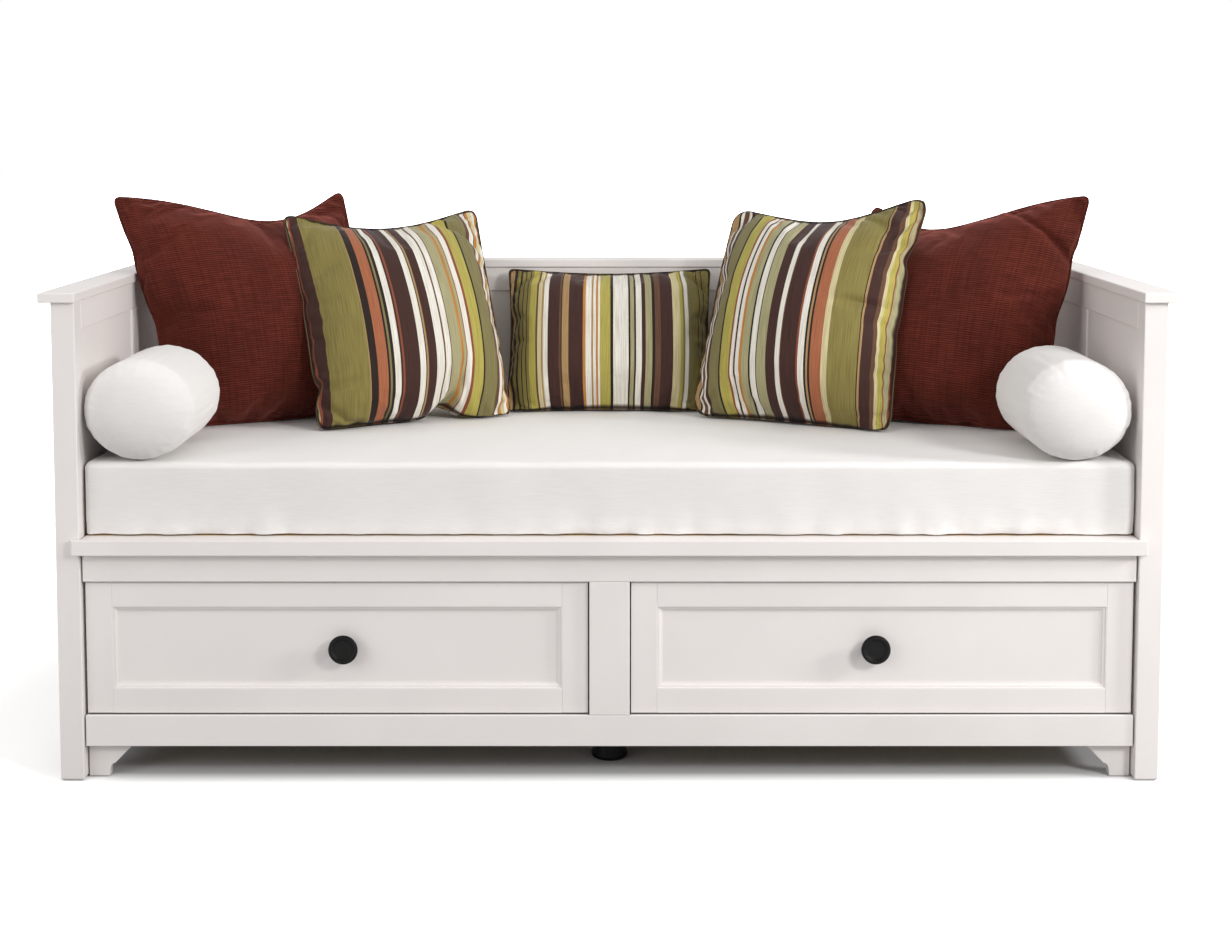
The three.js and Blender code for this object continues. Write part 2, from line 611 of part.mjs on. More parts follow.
// Bolsters: turned about y, with full round ends.
function bolster(side, pose, grow) {
  const radius = bolsterRadius + grow;
  const profile = [];
  for (let k = 0; k <= arcSteps; k += 1) {
    const a = (k / arcSteps) * (Math.PI / 2);
    profile.push([radius * Math.sin(a), -grow + bolsterEnd * (1 - Math.cos(a))]);
  }
  for (let k = arcSteps; k >= 0; k -= 1) {
    const a = (k / arcSteps) * (Math.PI / 2);
    profile.push([radius * Math.sin(a), bolsterLength + grow - bolsterEnd * (1 - Math.cos(a))]);
  }
  profile[0][0] = 0;
  const x = side * (innerX - pose.fromArm - bolsterRadius);
  const z = mattressTop + bolsterRadius * bolsterHeightShare - bolsterPress;
  return turned(profile).scale(1, 1, bolsterHeightShare).translate(x, pose.front, z);
}

// A cushion: two crowned faces that meet in a seam. u and v run from -1 to 1 across and
// up it, spaced closer towards the seam. The sides draw in between the corners, and the
// top seam dips between its two peaks.
function pillow(size, pose, grow = 0) {
  const half = new THREE.Vector3(size.width / 2 + grow, size.thickness / 2 + grow, size.height / 2 + grow);
  const twist = THREE.MathUtils.degToRad(pose.twist);
  const points = [];
  const faces = [];
  const row = pillowCells + 1;
  for (const face of [-1, 1]) {
    const start = points.length / 3;
    for (let j = 0; j <= pillowCells; j += 1) {
      for (let i = 0; i <= pillowCells; i += 1) {
        const a = (i / pillowCells - 1 / 2) * Math.PI;
        const b = (j / pillowCells - 1 / 2) * Math.PI;
        const u = Math.sin(a);
        const v = Math.sin(b);
        const onSeam = i === 0 || j === 0 || i === pillowCells || j === pillowCells;
        const crown = onSeam ? 0 : (Math.cos(a) * Math.cos(b)) ** pillowPuff;
        const pull = pose.tuck * (1 - v) * (1 - Math.sign(pose.tuck) * u) / 4;
        const x = half.x * u * (1 - size.drawInShare * (1 - v * v)) + pull;
        const dip = Math.max(v, 0) * size.dip * (1 - u * u);
        const z = half.z * (1 + v * (1 - size.drawInShare * (1 - u * u))) - dip - grow;
        const y = face * half.y * crown;
        const turn = (twist * v) / 2;
        points.push(x * Math.cos(turn) - y * Math.sin(turn), x * Math.sin(turn) + y * Math.cos(turn), z);
        if (i < pillowCells && j < pillowCells) {
          const p = start + j * row + i;
          const quad = [p, p + 1, p + row + 1, p, p + row + 1, p + row];
          faces.push(...(face < 0 ? quad : quad.reverse()));
        }
      }
    }
  }
  const shell = new THREE.BufferGeometry();
  shell.setAttribute('position', new THREE.Float32BufferAttribute(points, 3));
  shell.setIndex(faces);
  const x = 'fromMiddle' in pose ? pose.fromMiddle : Math.sign(-pose.yaw) * (innerX - pose.fromArm);
  shell.rotateX(-THREE.MathUtils.degToRad(pose.lean));
  shell.rotateZ(THREE.MathUtils.degToRad(pose.yaw));
  return shell.translate(x, backY - pose.fromBack, mattressTop - cushionPress);
}

const leftBolster = (grow) => bolster(-1, leftBolsterPlace, grow);
const rightBolster = (grow) => bolster(1, rightBolsterPlace, grow);
const leftPlain = (grow) => pillow(plainSize, leftPlainPlace, grow);
const rightPlain = (grow) => pillow(plainSize, rightPlainPlace, grow);
const lumbar = (grow) => pillow(lumbarSize, lumbarPlace, grow);
const leftStriped = (grow) => pillow(stripedSize, leftStripedPlace, grow);
const rightStriped = (grow) => pillow(stripedSize, rightStripedPlace, grow);

// Each soft piece gives way to the ones that were laid before it.
function lay(name, make, neighbours, material) {
  place(name, cut(make(0), [...roomWalls, ...neighbours.map((other) => other(growth))]), material);
}
lay('left_bolster', leftBolster, [], materials.linen);
lay('right_bolster', rightBolster, [], materials.linen);
lay('left_plain_cushion', leftPlain, [leftBolster], materials.rust);
lay('right_plain_cushion', rightPlain, [rightBolster], materials.rust);
lay('lumbar_cushion', lumbar, [leftPlain, rightPlain], materials.stripe);
lay('left_striped_cushion', leftStriped, [leftBolster, leftPlain, lumbar], materials.stripe);
lay('right_striped_cushion', rightStriped, [rightBolster, rightPlain, lumbar], materials.stripe);

export default daybed;
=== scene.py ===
# Storage daybed: a white painted pine daybed with framed arms and a framed back, a front
# cabinet with two drawers that pulls out with half of the slats, a mattress in a linen
# cover, two bolsters and five cushions. Lengths are metres, as in the frame.

import math

import bpy
import numpy as np
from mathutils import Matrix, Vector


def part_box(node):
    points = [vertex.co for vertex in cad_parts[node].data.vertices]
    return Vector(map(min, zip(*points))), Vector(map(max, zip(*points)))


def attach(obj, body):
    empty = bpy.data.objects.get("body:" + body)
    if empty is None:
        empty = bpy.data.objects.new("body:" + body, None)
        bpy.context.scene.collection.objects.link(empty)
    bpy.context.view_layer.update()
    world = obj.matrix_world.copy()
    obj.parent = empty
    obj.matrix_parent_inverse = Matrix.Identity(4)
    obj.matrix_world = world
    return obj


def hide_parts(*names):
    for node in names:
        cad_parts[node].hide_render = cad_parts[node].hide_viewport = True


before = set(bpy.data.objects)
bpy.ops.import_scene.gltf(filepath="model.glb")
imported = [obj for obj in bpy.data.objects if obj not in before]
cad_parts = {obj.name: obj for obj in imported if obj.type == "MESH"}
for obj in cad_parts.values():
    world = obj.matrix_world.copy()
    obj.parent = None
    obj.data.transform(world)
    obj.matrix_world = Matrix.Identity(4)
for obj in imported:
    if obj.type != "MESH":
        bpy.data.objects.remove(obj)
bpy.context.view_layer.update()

# Camera: it stood 3.4 m in front of the posts at the height of a chest and looked down a
# little, with the film moved down behind the lens, so that the posts stay nearly upright.
photo_width = 1232
focal_pixels = 1809
camera_distance = 3.377
camera_height = 1.2583
camera_tilt = math.radians(4.38)
posts_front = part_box("left_front_post")[0].y
camera_lens = bpy.data.cameras.new("camera")
camera_lens.sensor_width = 36
camera_lens.lens = camera_lens.sensor_width * focal_pixels / photo_width
camera_lens.shift_x = 0.0053
camera_lens.shift_y = -0.165
camera = bpy.data.objects.new("camera", camera_lens)
camera.location = (0, posts_front - camera_distance, camera_height)
camera.rotation_euler = (math.pi / 2 - camera_tilt, 0, 0)
bpy.context.scene.collection.objects.link(camera)
bpy.context.scene.camera = camera
bpy.context.scene.view_settings.view_transform = "Standard"

# Studio: a white paper floor under a sky that is brighter overhead than at the horizon, a
# lamp above and to the right of the camera, a smaller one further to the side, whose
# shadows are longer, and a broad one on the left that fills them.
# The sky and the floor are white to the camera alone, so that they don't light the bed.
sky_low, sky_high = 0.2, 0.92
floor_half = 40
# What the camera sees of the floor grows brighter between these distances, as it gets
# less of the lamps' light, and under the bed it is painted darker, as a painted shadow, up to a soft
# edge.
bright_from, bright_to = 1.3, 5.0
floor_near, floor_far = 1.35, 4.5
floor_lit = 0.3
floor_shaded = 0.6
shaded_x, shaded_y = 1.0, 0.39
shaded_edge = 0.06


def srgb(code):
    """The linear colour of a hex code, by the sRGB curve."""
    parts = np.array([int(code[k:k + 2], 16) for k in (1, 3, 5)]) / 255
    linear = np.where(parts <= 0.04045, parts / 12.92, ((parts + 0.055) / 1.055) ** 2.4)
    return (*linear, 1.0)


def open_tree(owner):
    """Clears the nodes of a world or a material, and gives the function that adds one."""
    owner.use_nodes = True
    tree = owner.node_tree
    tree.nodes.clear()

    def add_node(kind, inputs=(), out=None, stops=(), steps="LINEAR", **settings):
        """Adds a shader node with its settings, and gives its named output or the first
        in use. Each input is a value or another node's output, which is then linked to
        it. Stops are the positions and the hex colours of a ramp."""
        made = tree.nodes.new("ShaderNode" + kind)
        for key, value in settings.items():
            setattr(made, key, value)
        for key, value in dict(inputs).items():
            if isinstance(value, bpy.types.NodeSocket):
                tree.links.new(value, made.inputs[key])
            else:
                made.inputs[key].default_value = value
        if stops:
            made.color_ramp.interpolation = steps
            for _ in stops[2:]:
                made.color_ramp.elements.new(1.0)
            for element, (position, colour) in zip(made.color_ramp.elements, stops):
                element.position = position
                element.color = srgb(colour)
        return made.outputs[out] if out else next((o for o in made.outputs if o.enabled), None)

    return add_node


def seen_directly(node):
    """1 for a ray from the camera or off a glossy or clear surface, and 0 for the rest."""
    seen = 0.0
    for ray in ("Is Camera Ray", "Is Glossy Ray", "Is Transmission Ray"):
        seen = node("Math", {0: seen, 1: node("LightPath", out=ray)}, operation="MAXIMUM")
    return seen


sky = bpy.data.worlds.new("sky")
bpy.context.scene.world = sky
sky_node = open_tree(sky)
sky_height = sky_node("SeparateXYZ", {"Vector": sky_node("TexCoord", out="Generated")}, out="Z")
sky_dome = sky_node("MapRange", {"Value": sky_height, "To Min": sky_low, "To Max": sky_high})
sky_strength = sky_node("MapRange", {
    "Value": seen_directly(sky_node), "To Min": sky_dome, "To Max": 1.0})
sky_light = sky_node("Background", {"Color": (1, 1, 1, 1), "Strength": sky_strength})
sky_node("OutputWorld", {"Surface": sky_light})

paper = bpy.data.materials.new("white_paper")
paper_node = open_tree(paper)
paper_place = paper_node("TexCoord", out="Object")
from_middle = paper_node("VectorMath", {0: paper_place}, operation="LENGTH")
paper_bright = paper_node("MapRange", {
    "Value": from_middle, "From Min": bright_from, "From Max": bright_to,
    "To Min": floor_near, "To Max": floor_far})
# The painted shadow under the bed: inside this box the floor's colour is lowered to floor_shaded.
paper_off = paper_node("VectorMath", {0: paper_place}, operation="ABSOLUTE")
paper_past = paper_node("VectorMath", {0: paper_off, 1: (shaded_x, shaded_y, 0)}, operation="SUBTRACT")
past_end, past_front = (paper_node("SeparateXYZ", {"Vector": paper_past}, out=way) for way in "XY")
past_bed = paper_node("Math", {0: past_end, 1: past_front}, operation="MAXIMUM")
paper_shaded = paper_node("MapRange", {
    "Value": past_bed, "From Max": shaded_edge, "To Min": floor_shaded, "To Max": paper_bright})
paper_white = paper_node("MapRange", {
    "Value": seen_directly(paper_node), "To Min": floor_lit, "To Max": paper_shaded})
paper_node("OutputMaterial", {"Surface": paper_node("BsdfDiffuse", {"Color": paper_white})})

floor_mesh = bpy.data.meshes.new("floor")
floor_signs = ((-1, -1), (1, -1), (1, 1), (-1, 1))
floor_mesh.from_pydata([(sx * floor_half, sy * floor_half, 0) for sx, sy in floor_signs], [],
                       [(0, 1, 2, 3)])
floor_mesh.materials.append(paper)
floor = bpy.data.objects.new("floor", floor_mesh)
bpy.context.scene.collection.objects.link(floor)


def add_lamp(name, place, target, size, watts):
    """A square soft lamp that faces a target."""
    lamp = bpy.data.lights.new(name, "AREA")
    lamp.size = size
    lamp.energy = watts
    made = bpy.data.objects.new(name, lamp)
    made.location = place
    x, y, z = np.subtract(target, place)
    made.rotation_euler = (math.acos(-z / np.linalg.norm((x, y, z))), 0, math.atan2(-x, y))
    bpy.context.scene.collection.objects.link(made)


add_lamp("key_lamp", (2.6, -3.0, 2.3), (0, 0, 0.5), 0.8, 68)
add_lamp("side_lamp", (4.2, -1.5, 2.1), (0, 0, 0.7), 0.6, 80)
add_lamp("fill_lamp", (-3.3, -3.1, 1.9), (0, 0, 0.5), 2.5, 50)

# Posts: four square pine posts under white satin paint, with eased edges, and feet
# chamfered all round so that they don't splinter when the bed is moved.
post_edge = 0.002
post_chamfer = 0.005
same_place = 0.0001


def start_material(name, pattern="grain"):
    """An empty material, what adds a node to it, and where a pattern lies on it: by the
    points' own grain or cloth, or on a piece that has none, by its place turned so that x
    runs along the given axis."""
    material = bpy.data.materials.new(name)
    node = open_tree(material)
    if isinstance(pattern, str):
        return material, node, node("Attribute", out="Vector", attribute_name=pattern)
    turn = ((0, 0, 0), (0, 0, math.pi / 2), (0, math.pi / 2, 0))[pattern]
    return material, node, node("Mapping", {"Vector": node("TexCoord", out="Object"), "Rotation": turn})


def draw_lines(node, place, spots, detail=2.0):
    """Uneven lines: a noise with this many spots to the metre along each axis."""
    drawn = node("Mapping", {"Vector": place, "Scale": spots})
    return node("TexNoise", {"Vector": drawn, "Scale": 1.0, "Detail": detail})


def give_surface(node, height, strength, depth, inputs):
    """Ends a material: the relief of a pattern at this depth in metres, the shader's
    other inputs, and the output."""
    relief = node("Bump", {"Height": height, "Strength": strength, "Distance": depth})
    node("OutputMaterial", {"Surface": node("BsdfPrincipled", {"Normal": relief, **inputs})})


def make_paint(name, pattern="grain", gap_reach=None):
    """Satin alkyd paint sprayed on planed pine: almost even, with the faint lines of the
    grain along the board, a trace of orange peel, and paler edges, partly worn paint and
    partly painted highlight. On the sides that face a narrow gap it is painted near black,
    as painted shade, where another face is within the gap's reach."""
    material, node, place = start_material(name, pattern)
    cloudy = node("TexNoise", {"Vector": place, "Scale": 4.0, "Detail": 3.0})
    tone = node("ValToRGB", {"Fac": cloudy}, stops=[(0.3, "#e5dfdc"), (0.7, "#ebe5e2")])
    # Painted highlight and wear: the rounded edges are paler.
    edge = node("Attribute", out="Fac", attribute_name="edge")
    tone = node("Mix", {"Factor": edge, "A": tone, "B": srgb("#f1edeb")}, data_type="RGBA")
    # Painted shade in the gaps: where another face lies within reach, the paint on a gap's side goes near
    # black.
    if gap_reach:
        open_share = node("AmbientOcclusion", {"Distance": gap_reach}, out="AO", samples=8)
        shut_share = node("Math", {0: 1.0, 1: open_share}, operation="SUBTRACT")
        gap_side = node("Attribute", out="Fac", attribute_name="gap_side")
        painted_gap_shade = node("Math", {0: gap_side, 1: shut_share}, operation="MULTIPLY")
        tone = node("Mix", {"Factor": painted_gap_shade, "A": tone, "B": srgb("#17110d")}, data_type="RGBA")
    # Lines of the grain are 2 mm apart and 150 mm long.
    lines = draw_lines(node, place, (6.5, 500, 500))
    peel = node("TexNoise", {"Vector": place, "Scale": 260.0, "Detail": 1.0})
    height = node("Mix", {"Factor": 0.35, "A": lines, "B": peel})
    gloss = node("MapRange", {"Value": lines, "To Min": 0.34, "To Max": 0.48})
    give_surface(node, height, 0.25, 0.0004, {"Base Color": tone, "Roughness": gloss, "IOR": 1.47})
    return material


def add_piece(name, points, faces, material, body, slot, nodes=(), normals=None, crease=35, **attributes):
    """Puts arrays of points and faces into a mesh, with its normals or the angle past
    which an edge is sharp, and its point attributes, and joins it to its body in place of
    the named nodes."""
    mesh = bpy.data.meshes.new(name)
    mesh.from_pydata(points.tolist(), [], faces if isinstance(faces, list) else faces.tolist())
    mesh.shade_smooth()
    for key, values in attributes.items():
        kind, field = ("FLOAT_VECTOR", "vector") if values.ndim == 2 else ("FLOAT", "value")
        data = mesh.attributes.new(key, kind, "POINT").data
        data.foreach_set(field, values.astype(np.float32).ravel())
    if normals is not None:
        mesh.normals_split_custom_set_from_vertices(normals.tolist())
    else:
        mesh.set_sharp_from_angle(angle=math.radians(crease))
    mesh.materials.append(material)
    piece = bpy.data.objects.new(name, mesh)
    bpy.context.scene.collection.objects.link(piece)
    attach(piece, body)
    if nodes:
        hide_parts(*nodes)
    return piece


def quad_faces(index):
    """A face for each square of a grid of point numbers."""
    return np.stack([index[..., :-1, :-1], index[..., :-1, 1:], index[..., 1:, 1:],
                     index[..., 1:, :-1]], -1).reshape(-1, 4)


def ring_faces(rings, sides, ends=True):
    """Faces between rings of points that follow each other, and one over each end."""
    index = np.arange(rings * sides).reshape(rings, sides)
    faces = quad_faces(np.append(index, index[:, :1], 1)).tolist()
    return faces + [index[0, ::-1].tolist(), index[-1].tolist()] * ends


def shape_board(low, high, along, edge, foot=0.0):
    """A board is a ring carried along it. The ring is a rectangle whose corners are
    quarter circles of the edge radius. At each end the ring draws in along a quarter
    circle of the same radius, or at the foot along a chamfer. Each point's normal is the
    ring's direction tilted by the angle of the end, so that flat faces stay flat."""
    low, high = np.array(low), np.array(high)
    corner = np.radians(np.array([0, 30, 60, 90]) + np.arange(4)[:, None] * 90).ravel()
    way = np.stack([np.cos(corner), np.sin(corner)], 1)
    sign = np.repeat([[1, 1], [-1, 1], [-1, -1], [1, -1]], 4, axis=0)
    tilt = np.radians([78, 50, 25, 0])
    end = np.stack([edge * (1 - np.sin(tilt)), edge * (1 - np.cos(tilt)), tilt], 1)
    start = end * (1, 1, -1)
    if foot:
        near = foot / 8
        start = np.array([(0, foot, -math.pi / 2), (near, foot - near, -math.pi / 4),
                          (foot - near, near, -math.pi / 4), (foot + near, 0, 0)])
    rows = np.concatenate([start + (low[along], 0, 0), end[::-1] * (-1, 1, 1) + (high[along], 0, 0)])
    level, draw, lean = rows.T
    lean[[0, -1]] = -math.pi / 2, math.pi / 2
    across = [(along + 1) % 3, (along + 2) % 3]
    half, middle = (high - low)[across] / 2, (high + low)[across] / 2
    shrink = np.maximum(draw - edge * 0.8, 0)[:, None, None]
    radius = edge - draw[:, None, None] + shrink
    points = np.zeros((len(rows), len(way), 3))
    points[..., across] = middle + sign * (half - edge - shrink) + way * radius
    points[..., along] = level[:, None]
    normals = np.zeros_like(points)
    normals[..., across] = way * np.cos(lean)[:, None, None]
    normals[..., along] = np.sin(lean)[:, None]
    return points.reshape(-1, 3), ring_faces(len(rows), len(way)), normals.reshape(-1, 3)


def gather(shapes):
    """Several shapes as one: their points end to end, and their faces renumbered."""
    counts = np.cumsum([0] + [len(shape[0]) for shape in shapes])
    faces = [[p + start for p in face] for shape, start in zip(shapes, counts) for face in shape[1]]
    return np.concatenate([s[0] for s in shapes]), faces, np.concatenate([s[2] for s in shapes])


def add_boards(name, boards, edge, material, body, slot, nodes=(), foot=0.0, gap_box=None, along=None):
    """One piece of one or more boards that run the same way, along their longest side if
    it isn't given. The grain follows them, shifted by an amount of its own so that no two
    pieces show the same grain. What lies on a side or an end of the gap box faces a narrow
    gap."""
    if along is None:
        along = int(np.argmax(np.subtract(boards[0][1], boards[0][0])))
    points, faces, normals = gather([shape_board(low, high, along, edge, foot) for low, high in boards])
    shift = np.sin(points.min(0) * 97 + points.max(0) * 31) * 9
    grain = np.roll(points, -along, axis=1) + shift
    # How far a point lies round an edge; the paint shows this paler, as wear and as painted highlight.
    worn = np.clip((1 - np.abs(normals).max(1)) * 4, 0, 1)
    # gap_side marks where the paint takes painted shade in a gap.
    gap_side = np.zeros(len(points))
    if gap_box is not None:
        off = np.minimum(np.abs(points - gap_box[0]), np.abs(points - gap_box[1]))
        gap_side = (off[:, [0, 2]].min(1) < same_place).astype(float)
    return add_piece(name, points, faces, material, body, slot, nodes, normals, grain=grain,
                     edge=worn * (1 - gap_side), gap_side=gap_side)


def lay_boards(nodes, finish, edge, material, body, slot, foot=0.0):
    """Nodes that are one whole board each."""
    for node in nodes:
        add_boards(f"{node}_{finish}", [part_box(node)], edge, material, body, slot, [node], foot)


board_paint = make_paint("satin_paint")
lay_boards(("left_front_post", "right_front_post", "left_rear_post", "right_rear_post"),
           "painted", post_edge, board_paint, "bedstead", "white_paint", post_chamfer)

# Rails: pine planks doweled between the posts at the top and the bottom of each arm and
# of the back, flush with the posts' inner faces, under the same paint.
rail_edge = 0.0015
for level in ("top", "bottom"):
    lay_boards((f"left_arm_{level}_rail", f"right_arm_{level}_rail", f"back_{level}_rail"),
               "painted", rail_edge, board_paint, "bedstead", "white_paint")

# Panels: painted boards let into the rails, 3 mm behind their inner faces, with upright
# muntins as thick as the rails that divide the arms in two bays and the back in four.
panel_recess = 0.003
panel_thickness = 0.012
panel_edge = 0.0005
muntin_width = 0.05
muntin_edge = 0.0012
for panel, across, muntins in (("left_arm_panel", 0, 1), ("right_arm_panel", 0, 1), ("back_panel", 1, 3)):
    panel_box = np.array(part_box(panel))
    sheet, uprights = panel_box.copy(), []
    sheet_span = np.array((panel_recess, panel_recess + panel_thickness))
    if panel == "left_arm_panel":
        sheet[:, across] = panel_box[1, across] - sheet_span[::-1]
    else:
        sheet[:, across] = panel_box[0, across] + sheet_span
    for centre in np.linspace(*panel_box[:, 1 - across], muntins + 2)[1:-1]:
        uprights.append(panel_box.copy())
        uprights[-1][:, 1 - across] = centre - muntin_width / 2, centre + muntin_width / 2
    add_boards(panel + "_sheet", [sheet], panel_edge, board_paint, "bedstead", "white_paint", [panel],
               along=2)
    add_boards(panel + "_muntins", uprights, muntin_edge, board_paint, "bedstead", "white_paint")

# Caps: flat boards over the arms and the back that stand out all round, with rounded
# edges. The back cap is butted between the caps of the arms.
cap_edge = 0.0028
lay_boards(("left_arm_cap", "right_arm_cap", "back_cap"), "painted", cap_edge, board_paint, "bedstead",
           "white_paint")

# Ledge: the thick board along the front under the mattress. It slides with the cabinet,
# and its ends pass in front of the posts, 1 mm clear of them.
ledge_edge = 0.002
ledge_clear = 0.001


def push_outline(outline, across, start, end):
    """A flat outline pushed along one axis: its points twice, the two faces, and one face
    along each side. The outline turns left as seen from where the push ends."""
    points = np.zeros((2, len(outline), 3))
    points[..., [(across + 1) % 3, (across + 2) % 3]] = outline
    points[..., across] = [[start], [end]]
    return points.reshape(-1, 3), ring_faces(2, len(outline))


def ease_edges(piece, width, angle=30):
    """Rounds the sharp edges of a pushed outline."""
    bevel = piece.modifiers.new("eased_edges", "BEVEL")
    bevel.width = width
    bevel.segments = 3
    bevel.limit_method = "ANGLE"
    bevel.angle_limit = math.radians(angle)
    bevel.harden_normals = True


ledge_low, ledge_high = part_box("pullout_ledge")
ear_back = posts_front - ledge_clear
rail_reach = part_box("pullout_apron")[1].x
ledge_outline = [
    (ledge_low.x, ledge_low.y), (ledge_high.x, ledge_low.y), (ledge_high.x, ear_back),
    (rail_reach, ear_back), (rail_reach, ledge_high.y), (-rail_reach, ledge_high.y),
    (-rail_reach, ear_back), (ledge_low.x, ear_back)]
ledge_points, ledge_faces = push_outline(ledge_outline, 2, ledge_low.z, ledge_high.z)
ledge = add_piece("pullout_ledge_painted", ledge_points, ledge_faces, board_paint, "pullout",
                  "white_paint", ["pullout_ledge"], grain=ledge_points + 3.1)
ease_edges(ledge, ledge_edge)

# Front rails: the apron under the ledge, the rail under the drawers and the stile between
# them, all one plank thick and glued edge to end. Only their sides at the drawers face a
# gap; the gap box's other sides lie beyond the bed.
front_edge = 0.0015
gap_reach = 0.006
beyond = 9
# This paint carries painted shade on the sides of the front rails and drawer fronts that face the gaps.
gap_paint = make_paint("satin_paint_with_painted_gap_shade", gap_reach=gap_reach)
for rail, at_gap in (
        ("pullout_apron", ((0, 0, 1), (0, 0, 0))), ("pullout_bottom_rail", ((0, 0, 0), (0, 0, 1))),
        ("pullout_centre_stile", ((1, 0, 0), (1, 0, 0)))):
    rail_box = np.array(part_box(rail))
    add_boards(rail + "_painted", [rail_box], front_edge, gap_paint, "pullout", "white_paint", [rail],
               gap_box=np.where(at_gap, rail_box, [[-beyond], [beyond]]))

# Bracket feet: sawn pine brackets under the ends of the bottom rail, with a straight slope
# to a knee and a hollow curve down to the toe. They carry the front when it slides.
bracket_top = 0.088
bracket_knee = 0.050
bracket_toe = 0.039
bracket_knee_height = 0.027
bracket_edge = 0.0013
for side, name in ((-1, "left_bracket_foot"), (1, "right_bracket_foot")):
    foot_low, foot_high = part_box(name)
    curve = np.linspace(0, 1, 9)
    knee_x = (1 - curve) ** 2 * bracket_knee + (1 - (1 - curve) ** 2) * bracket_toe
    knee_z = (1 - curve ** 2) * bracket_knee_height + curve ** 2 * foot_low.z
    edge_x = np.concatenate([[0, 0, bracket_top], knee_x])
    edge_z = np.concatenate([[foot_low.z, foot_high.z, foot_high.z], knee_z])
    bracket = np.stack([edge_z, side * (rail_reach - edge_x)], 1)[::-side]
    bracket_points, bracket_faces = push_outline(bracket, 1, foot_low.y, foot_high.y)
    foot = add_piece(name + "_painted", bracket_points, bracket_faces, board_paint, "pullout",
                     "white_paint", [name], grain=bracket_points + 5.3)
    ease_edges(foot, bracket_edge, 40)

# Round foot: a black moulded plastic glide screwed under the middle of the cabinet, a
# little wider at the sole, with its edges rounded by the mould.
foot_profile = (
    (0.0, 0.0), (0.030, 0.0), (0.0335, 0.001), (0.0355, 0.0035), (0.036, 0.007), (0.0352, 0.012),
    (0.0325, 0.018), (0.0302, 0.024), (0.030, 0.032), (0.030, 0.048), (0.0312, 0.053),
    (0.034, 0.0565), (0.034, 0.0635), (0.033, 0.0647), (0.0, 0.0647))


def turn_profile(profile, centre, axis=2, toward=1, sides=64):
    """A profile of (radius, height) rows turned round an axis: each row but the first and
    the last, which lie on the axis, is a ring of the given sides."""
    radius, height = np.array(profile).T
    angle = np.linspace(0, 2 * np.pi, sides, endpoint=False)
    rings = np.zeros((len(radius) - 2, sides, 3))
    rings[..., (axis + 1) % 3] = radius[1:-1, None] * np.cos(angle)
    rings[..., (axis + 2) % 3] = radius[1:-1, None] * np.sin(angle)
    rings[..., axis] = height[1:-1, None] * toward
    poles = np.zeros((2, 3))
    poles[:, axis] = height[0] * toward, height[-1] * toward
    points = np.concatenate([rings.reshape(-1, 3), poles]) + centre
    faces = ring_faces(len(rings), sides, False)
    this, then = np.arange(sides), (np.arange(sides) + 1) % sides
    pole, last = len(points) - 2, (len(rings) - 1) * sides
    faces += np.stack([then, this, np.full(sides, pole)], 1).tolist()
    faces += np.stack([this + last, then + last, np.full(sides, pole + 1)], 1).tolist()
    return points, [face[::toward] for face in faces]


def make_black(name, colour, roughness, grit):
    """Black plastic from a matt mould, or satin black lacquer: grit is the size of the
    fine texture in metres, which breaks up the highlight."""
    material, node, place = start_material(name, 0)
    fine = node("TexNoise", {"Vector": place, "Scale": 1 / grit, "Detail": 2.0})
    worn = node("TexNoise", {"Vector": place, "Scale": 40.0, "Detail": 3.0})
    tone = node("ValToRGB", {"Fac": worn}, stops=colour)
    gloss = node("MapRange", {"Value": worn, "To Min": roughness - 0.06, "To Max": roughness + 0.08})
    give_surface(node, fine, 0.3, 0.0002, {
        "Base Color": tone, "Roughness": gloss, "Specular IOR Level": 0.12})
    return material


glide_plastic = make_black("moulded_black_plastic", [(0.3, "#0b0b0b"), (0.7, "#141414")], 0.5, 0.0012)
glide_box = np.array(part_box("centre_foot"))
glide_points, glide_faces = turn_profile(foot_profile, (*glide_box.mean(0)[:2], glide_box[0, 2]))
add_piece("centre_foot_glide", glide_points, glide_faces, glide_plastic, "pullout", "black_plastic",
          ["centre_foot"], crease=50)

# Carcase: melamine-white end boards with a leg at the rear and the boards behind the
# centre stile keep their packed form; they are painted as the front is.


def dress(names, material):
    """Gives nodes that keep their packed form their material."""
    for name in names:
        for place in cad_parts[name].material_slots:
            place.material = material


dress(("left_end_board", "right_end_board", "left_centre_board", "right_centre_board"),
      make_paint("satin_paint_on_boards", 1))

# Base: untreated pine bearers screwed to the frame, and two sets of slats like two combs,
# one glued to the rear batten and one to the batten that stands on the cabinet.
slat_width = 0.06
slat_pitch = 0.14
slat_count = 14
slat_edge = 0.0025
batten_width = 0.0195
batten_joint = 0.0002
bearer_edge = 0.0015


def shade_by(node, tone, pattern, stops):
    """A colour times a ramp over a pattern, which is white where the colour stays."""
    shade = node("ValToRGB", {"Fac": pattern}, stops=stops)
    return node("Mix", {"Factor": 1.0, "A": tone, "B": shade}, data_type="RGBA", blend_type="MULTIPLY")


